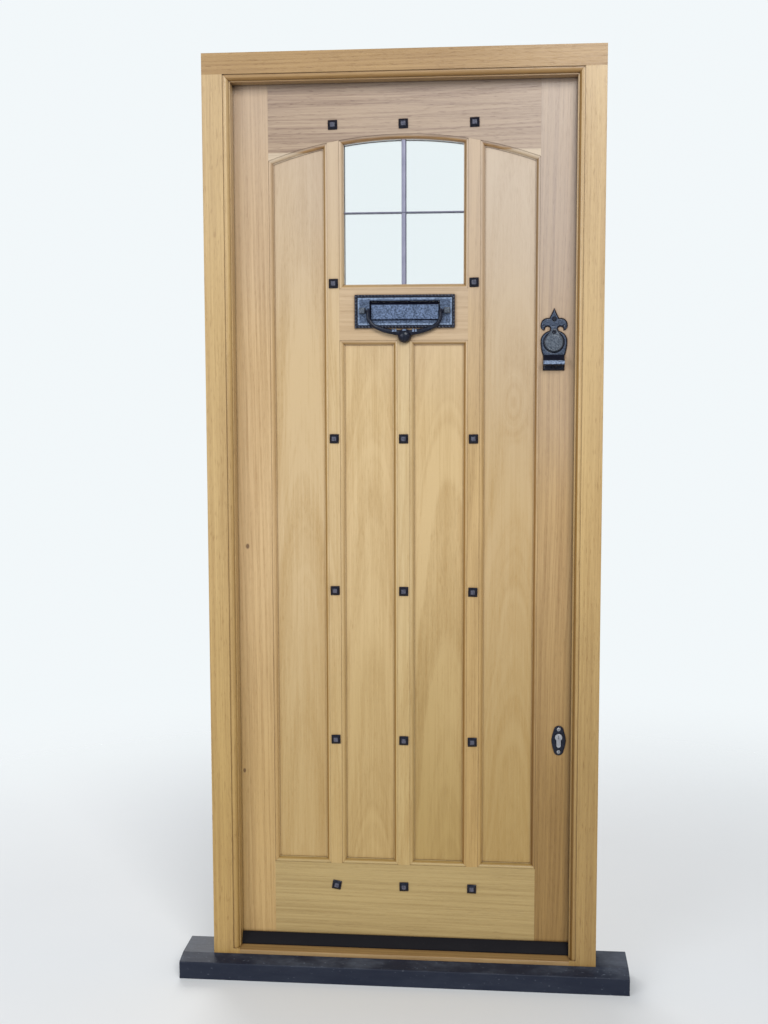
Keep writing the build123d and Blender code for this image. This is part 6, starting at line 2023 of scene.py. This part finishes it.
@dataclass
class Escutcheons:
    """Pointed oval plates round the profile cylinder, outside and inside."""

    dark: bpy.types.Material
    width: float = 34.0
    height: float = 71.0
    thick: float = 3.0
    screw_span: float = 54.0
    screw_room: float = 4.25
    way_radius: float = 8.7
    way_lobe: float = 5.2
    way_height: float = 33.4

    def outline(self) -> list[Point]:
        """The plate's outline about its middle."""
        wide, tall = self.width / 2, self.height / 2
        quarter = traced((wide, 0.0), (((wide - 2.2, 13.0), (wide - 5.5, tall - 11.0)),
                                       ((8.2, tall - 3.5), (0.0, tall))), 10)
        lower = [(x, -z) for x, z in quarter[:0:-1]]
        right = lower + quarter
        return right + [(-x, z) for x, z in right[-2:0:-1]]

    def way(self) -> list[Point]:
        """The opening for the cylinder, about its plug's axis: round above, a straight lobe below."""
        lobe, radius = self.way_lobe, self.way_radius
        meet = math.asin(lobe / radius)
        low = -(self.way_height - radius) + lobe
        upper = [-math.pi / 2 + meet + (2 * math.pi - 2 * meet) * n / 30 for n in range(31)]
        lower = [math.pi + math.pi * n / 12 for n in range(13)]
        line = [(radius * math.cos(a), radius * math.sin(a)) for a in upper]
        return line + [(lobe * math.cos(a), low + lobe * math.sin(a)) for a in lower]

    def rise(self, x: float, z: float, near: float) -> float:
        """Height of the face over the back, rounded at every edge."""
        return self.thick - 1.2 * max(0.0, 1.0 - near / 1.7) ** 1.6

    def build(self) -> None:
        """Builds both plates."""
        for node, outside in (("outer_escutcheon", True), ("inner_escutcheon", False)):
            low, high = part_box(node)
            x, z = middle_of(node)
            axis_z = z - self.way_radius + 0.2 + (self.way_height - 0.4) / 2
            holes = [moved(self.way(), x, axis_z)]
            holes += [ring_of(self.screw_room, x, z + up * self.screw_span / 2, 22) for up in (-1, 1)]
            back = (high.y if outside else low.y) / MM
            mesh = CastRelief(moved(self.outline(), x, z), back, self.rise, holes, spacing=0.85,
                              hammer=0.14, hammer_size=2.6, outside=outside).mesh()
            piece = eased_piece(node + "_casting", mesh, self.dark, Body.LEAF, smooth_angle=50.0)
            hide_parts(node)


@dataclass
class Screws:
    """Slotted countersunk screws, one wherever the solid of a node has one."""

    steel: bpy.types.Material
    head_radius: float = 4.2
    shank_radius: float = 2.0
    slot_half: float = 0.55
    slot_deep: float = 0.8

    def places(self, node: str) -> list[tuple[Vector, Vector, float]]:
        """Reads each screw's head, facing and length from the solid.

        Args:
            node: the node of screws.

        Returns:
            For each screw its head's middle, the way that its head faces, and its length.
        """
        model = bmesh.new()
        model.from_mesh(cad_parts[node].data)
        bmesh.ops.remove_doubles(model, verts=model.verts, dist=1e-6)
        waiting = dict.fromkeys(model.verts)
        found = []
        while waiting:
            island, edge = [], [waiting.popitem()[0]]
            while edge:
                vert = edge.pop()
                island.append(vert.co.copy())
                for link in vert.link_edges:
                    other = link.other_vert(vert)
                    if other in waiting:
                        del waiting[other]
                        edge.append(other)
            low = Vector([min(co[n] for co in island) for n in range(3)])
            high = Vector([max(co[n] for co in island) for n in range(3)])
            size = high - low
            axis = max(range(3), key=lambda n: size[n])
            middle = (low + high) / 2
            ends = []
            for stop in (low[axis], high[axis]):
                near = [co for co in island if abs(co[axis] - stop) < 0.0002]
                spread = max((math.dist([c for n, c in enumerate(co) if n != axis],
                                        [c for n, c in enumerate(middle) if n != axis]) for co in near))
                ends.append((spread, stop))
            top = max(ends)[1]
            facing = Vector((0.0, 0.0, 0.0))
            facing[axis] = 1.0 if top == high[axis] else -1.0
            middle[axis] = top
            found.append((middle, facing, size[axis]))
        model.free()
        return found

    def head(self) -> bpy.types.Mesh:
        """One head: a cone with a straight slot across its flat, facing +Z."""
        model = bmesh.new()
        radius, half, deep = self.head_radius, self.slot_half, self.slot_deep
        inner = radius - 0.25
        meet = math.asin(half / inner)
        turns = [meet + (math.pi - 2 * meet) * n / 10 for n in range(11)]
        turns += [math.pi + a for a in turns]
        taper = radius - self.shank_radius
        levels = ((inner, 0.0), (radius, -0.2), (radius, -0.35), (self.shank_radius, -0.35 - taper))
        rings = [[model.verts.new((r * math.cos(a) * MM, r * math.sin(a) * MM, z * MM)) for a in turns]
                 for r, z in levels]
        count = len(turns)
        for low, high in zip(rings, rings[1:]):
            for n in range(count):
                model.faces.new((low[n], high[n], high[(n + 1) % count], low[(n + 1) % count]))
        model.faces.new(rings[-1][::-1])
        top = rings[0]
        floor = [model.verts.new((top[n].co.x, top[n].co.y, -deep * MM)) for n in (0, 10, 11, 21)]
        model.faces.new(top[:11])
        model.faces.new(top[11:])
        model.faces.new((floor[0], floor[1], floor[2], floor[3]))
        for a, b, c, d in ((top[0], top[10], floor[1], floor[0]), (top[10], top[11], floor[2], floor[1]),
                           (top[11], top[21], floor[3], floor[2]), (top[21], top[0], floor[0], floor[3])):
            model.faces.new((a, b, c, d))
        return finished(model, "screw_head")

    def recipe(self) -> Recipe:
        """A recipe that sets a head and a shank on every point, along the point's own facing."""
        recipe = Recipe("countersunk_screws")
        shape = recipe.helper("Head")
        points = recipe.entry.outputs[0]
        shank = recipe.ask("Shank Radius", 0.002)
        facing, reach = (
            recipe.add("GeometryNodeInputNamedAttribute", {"data_type": kind}, {"Name": name})
            for name, kind in (("facing", "FLOAT_VECTOR"), ("reach", "FLOAT")))
        aimed = recipe.add("FunctionNodeAlignRotationToVector", {"axis": "Z"}, {"Vector": facing.outputs[0]})
        spin = recipe.add("FunctionNodeAxisAngleToRotation", {}, {
            "Axis": (0.0, 0.0, 1.0), "Angle": recipe.chance(0.0, math.pi, 5)})
        turned = recipe.add("FunctionNodeRotateRotation", {"rotation_space": "LOCAL"}, {
            "Rotation": aimed.outputs[0], "Rotate By": spin.outputs[0]})
        heads = recipe.scatter(points, shape, turned.outputs[0])
        rod = recipe.add("GeometryNodeMeshCylinder", {}, {"Vertices": 14, "Radius": shank, "Depth": 1.0})
        rods = recipe.scatter(points, rod.outputs["Mesh"], aimed.outputs[0],
                              recipe.vector(1.0, 1.0, reach.outputs[0]))
        sunk = recipe.add("GeometryNodeTranslateInstances", {}, {
            "Instances": rods, "Translation": recipe.vector(0.0, 0.0, -0.5), "Local Space": True})
        both = recipe.add("GeometryNodeJoinGeometry")
        for part in (heads, sunk.outputs[0]):
            recipe.fill(both.inputs[0], part)
        recipe.finish(both.outputs[0])
        return recipe

    def build(self) -> None:
        """Builds the screws of the leaf and of the frame."""
        head = linked("screw_head", self.head())
        recipe = self.recipe()
        for node, body in (("leaf_screws", Body.LEAF), ("frame_screws", Body.FRAME)):
            found = self.places(node)
            points = carrier("screw_points", [middle for middle, _, _ in found])
            facing = points.data.attributes.new("facing", "FLOAT_VECTOR", "POINT")
            facing.data.foreach_set("vector", [c for _, way, _ in found for c in way])
            reach = points.data.attributes.new("reach", "FLOAT", "POINT")
            reach.data.foreach_set("value", [length for _, _, length in found])
            piece = recipe.make("slotted_" + node, points, self.steel, body, Slot.STEEL, Head=head,
                                Shank_Radius=self.shank_radius * MM)
            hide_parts(node)
        bpy.data.objects.remove(head)


@dataclass
class LatchKnob:
    """Turned knob of the rim latch on its waisted neck."""

    enamel: bpy.types.Material
    rim: float = 16.0
    reach: float = 24.0
    neck: float = 7.2
    spindle: float = 5.0

    def build(self) -> None:
        """Builds the knob on its spindle."""
        low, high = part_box("latch_knob")
        x, z = middle_of("latch_knob")
        end, front = low.y / MM, high.y / MM
        seat = front - self.reach + 0.4
        neck, rim = self.neck, self.rim
        shape = smooth_line([(neck, seat + 0.4), (neck - 0.3, seat + 4.0), (neck + 0.5, seat + 8.0),
                             (rim - 4.6, seat + 11.4), (rim - 1.2, seat + 13.2), (rim, seat + 15.4),
                             (rim - 0.9, seat + 18.0), (rim - 4.2, seat + 20.8), (rim - 9.5, front - 0.5),
                             (2.0, front)], 4)
        profile = [(0, end), (self.spindle, end), (self.spindle, seat), (self.neck, seat), *shape, (0, front)]
        knob = eased_piece("latch_knob_turned", lathe(profile, (x, 0.0, z), 40), self.enamel, Body.KNOB)
        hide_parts("latch_knob")


class Ironmongery:
    """Everything of metal, glass, lead, rubber and paint."""

    def build(self) -> None:
        """Gives the solids that stay their materials and builds the castings, cames and screws."""
        # Painted light: the light high tones of these irons are painted sheen and highlights over black
        # paint; the edge and peak irons are painted highlights and the shade iron is painted shade.
        iron = HammeredIron("plate").material()
        pull_iron = HammeredIron("pull", high=(0.066, 0.082, 0.125), deep=(0.010, 0.013, 0.024)).material()
        dark_iron = HammeredIron("dark", high=(0.011, 0.010, 0.020), deep=(0.002, 0.002, 0.005), gloss=0.22,
                                 coat=0.30).material()
        rope_iron = HammeredIron("rope", high=(0.075, 0.078, 0.105), deep=(0.008, 0.008, 0.014),
                                 dimple=0.0024).material()
        worn_iron = HammeredIron("worn", high=(0.120, 0.135, 0.158), deep=(0.028, 0.033, 0.044),
                                 dimple=0.0026).material()
        field_iron = HammeredIron("field", high=(0.105, 0.142, 0.228), deep=(0.009, 0.013, 0.026)).material()
        stud_highlight_iron = HammeredIron("peak", high=(0.095, 0.088, 0.112), deep=(0.026, 0.024, 0.034),
                                 patch=(0.0, 0.40)).material()
        # Painted shade: a matte near-black iron for recesses and gaps where shade falls.
        black_iron = HammeredIron("shade", high=(0.006, 0.006, 0.012), deep=(0.002, 0.002, 0.005), rough=0.85,
                                  gloss=0.05, coat=0.0).material()
        highlight_iron = HammeredIron("edge", high=(0.24, 0.31, 0.44), deep=(0.045, 0.065, 0.11),
                                 patch=(0.0, 0.45)).material()
        steel = SatinMetal("steel").material()
        pins = SatinMetal("hinge", pale=(0.50, 0.47, 0.42), dark=(0.36, 0.33, 0.30)).material()
        enamel = PlainStuff("enamel", (0.022, 0.022, 0.024), (0.040, 0.040, 0.044), 0.34).material()
        lead = PlainStuff("lead", (0.27, 0.27, 0.36), (0.17, 0.17, 0.24), 0.45, 0.3, 400.0).material()
        spacer = PlainStuff("spacer", (0.62, 0.62, 0.62), (0.52, 0.52, 0.53), 0.35, 0.9).material()
        rubber = PlainStuff("rubber", (0.018, 0.018, 0.018), (0.030, 0.029, 0.028), 0.65).material()
        bar = BlackPaint("threshold", (0.004, 0.0035, 0.0055), (0.06, 0.05, 0.052), dust_share=0.03,
                         scuff_share=0.15, rough=0.62, gloss=0.12).material()
        paint = BlackPaint("sub_sill", dust_share=0.34, rough=0.52, gloss=0.22).material()
        glass = WindowGlass().material()
        groups = (
            (steel, ("letter_bolts", "rim_cylinder", "rim_plug", "latch_bolt", "profile_cylinder",
                     "outer_plug", "inner_plug", "lock_cam", "deadlock_case", "deadbolt", "strike_plate")),
            (pins, ("hinge_frame_leaves", "hinge_door_leaves", "hinge_pins")),
            (enamel, ("latch_plate", "latch_case", "latch_keep", "latch_snib")),
            (spacer, ("glass_spacer",)),
            (rubber, ("frame_seals", "threshold_seal")),
            (bar, ("threshold_bar",)),
            (paint, ("sub_sill",)),
            (glass, ("outer_glass", "inner_glass")),
        )
        for material, nodes in groups:
            for node in nodes:
                dress(node, material)
                log.info("solid %s", node)
        LetterPlate(field_iron, dark_iron, worn_iron, black_iron, highlight_iron, rope_iron).build()
        LetterFlap(iron, black_iron).build()
        Knocker(dark_iron, highlight_iron).build()
        CylinderPull(pull_iron, dark_iron, worn_iron, highlight_iron).build()
        Escutcheons(dark_iron).build()
        StudRows(dark_iron, stud_highlight_iron).build()
        LeadCames(lead).build()
        Screws(steel).build()
        LatchKnob(enamel).build()


def main() -> None:
    """Builds the studio and every piece of the door in order."""
    Studio().build()
    OakWork(oak_boards()).dress()
    Ironmongery().build()


if __name__ == "__main__":
    main()
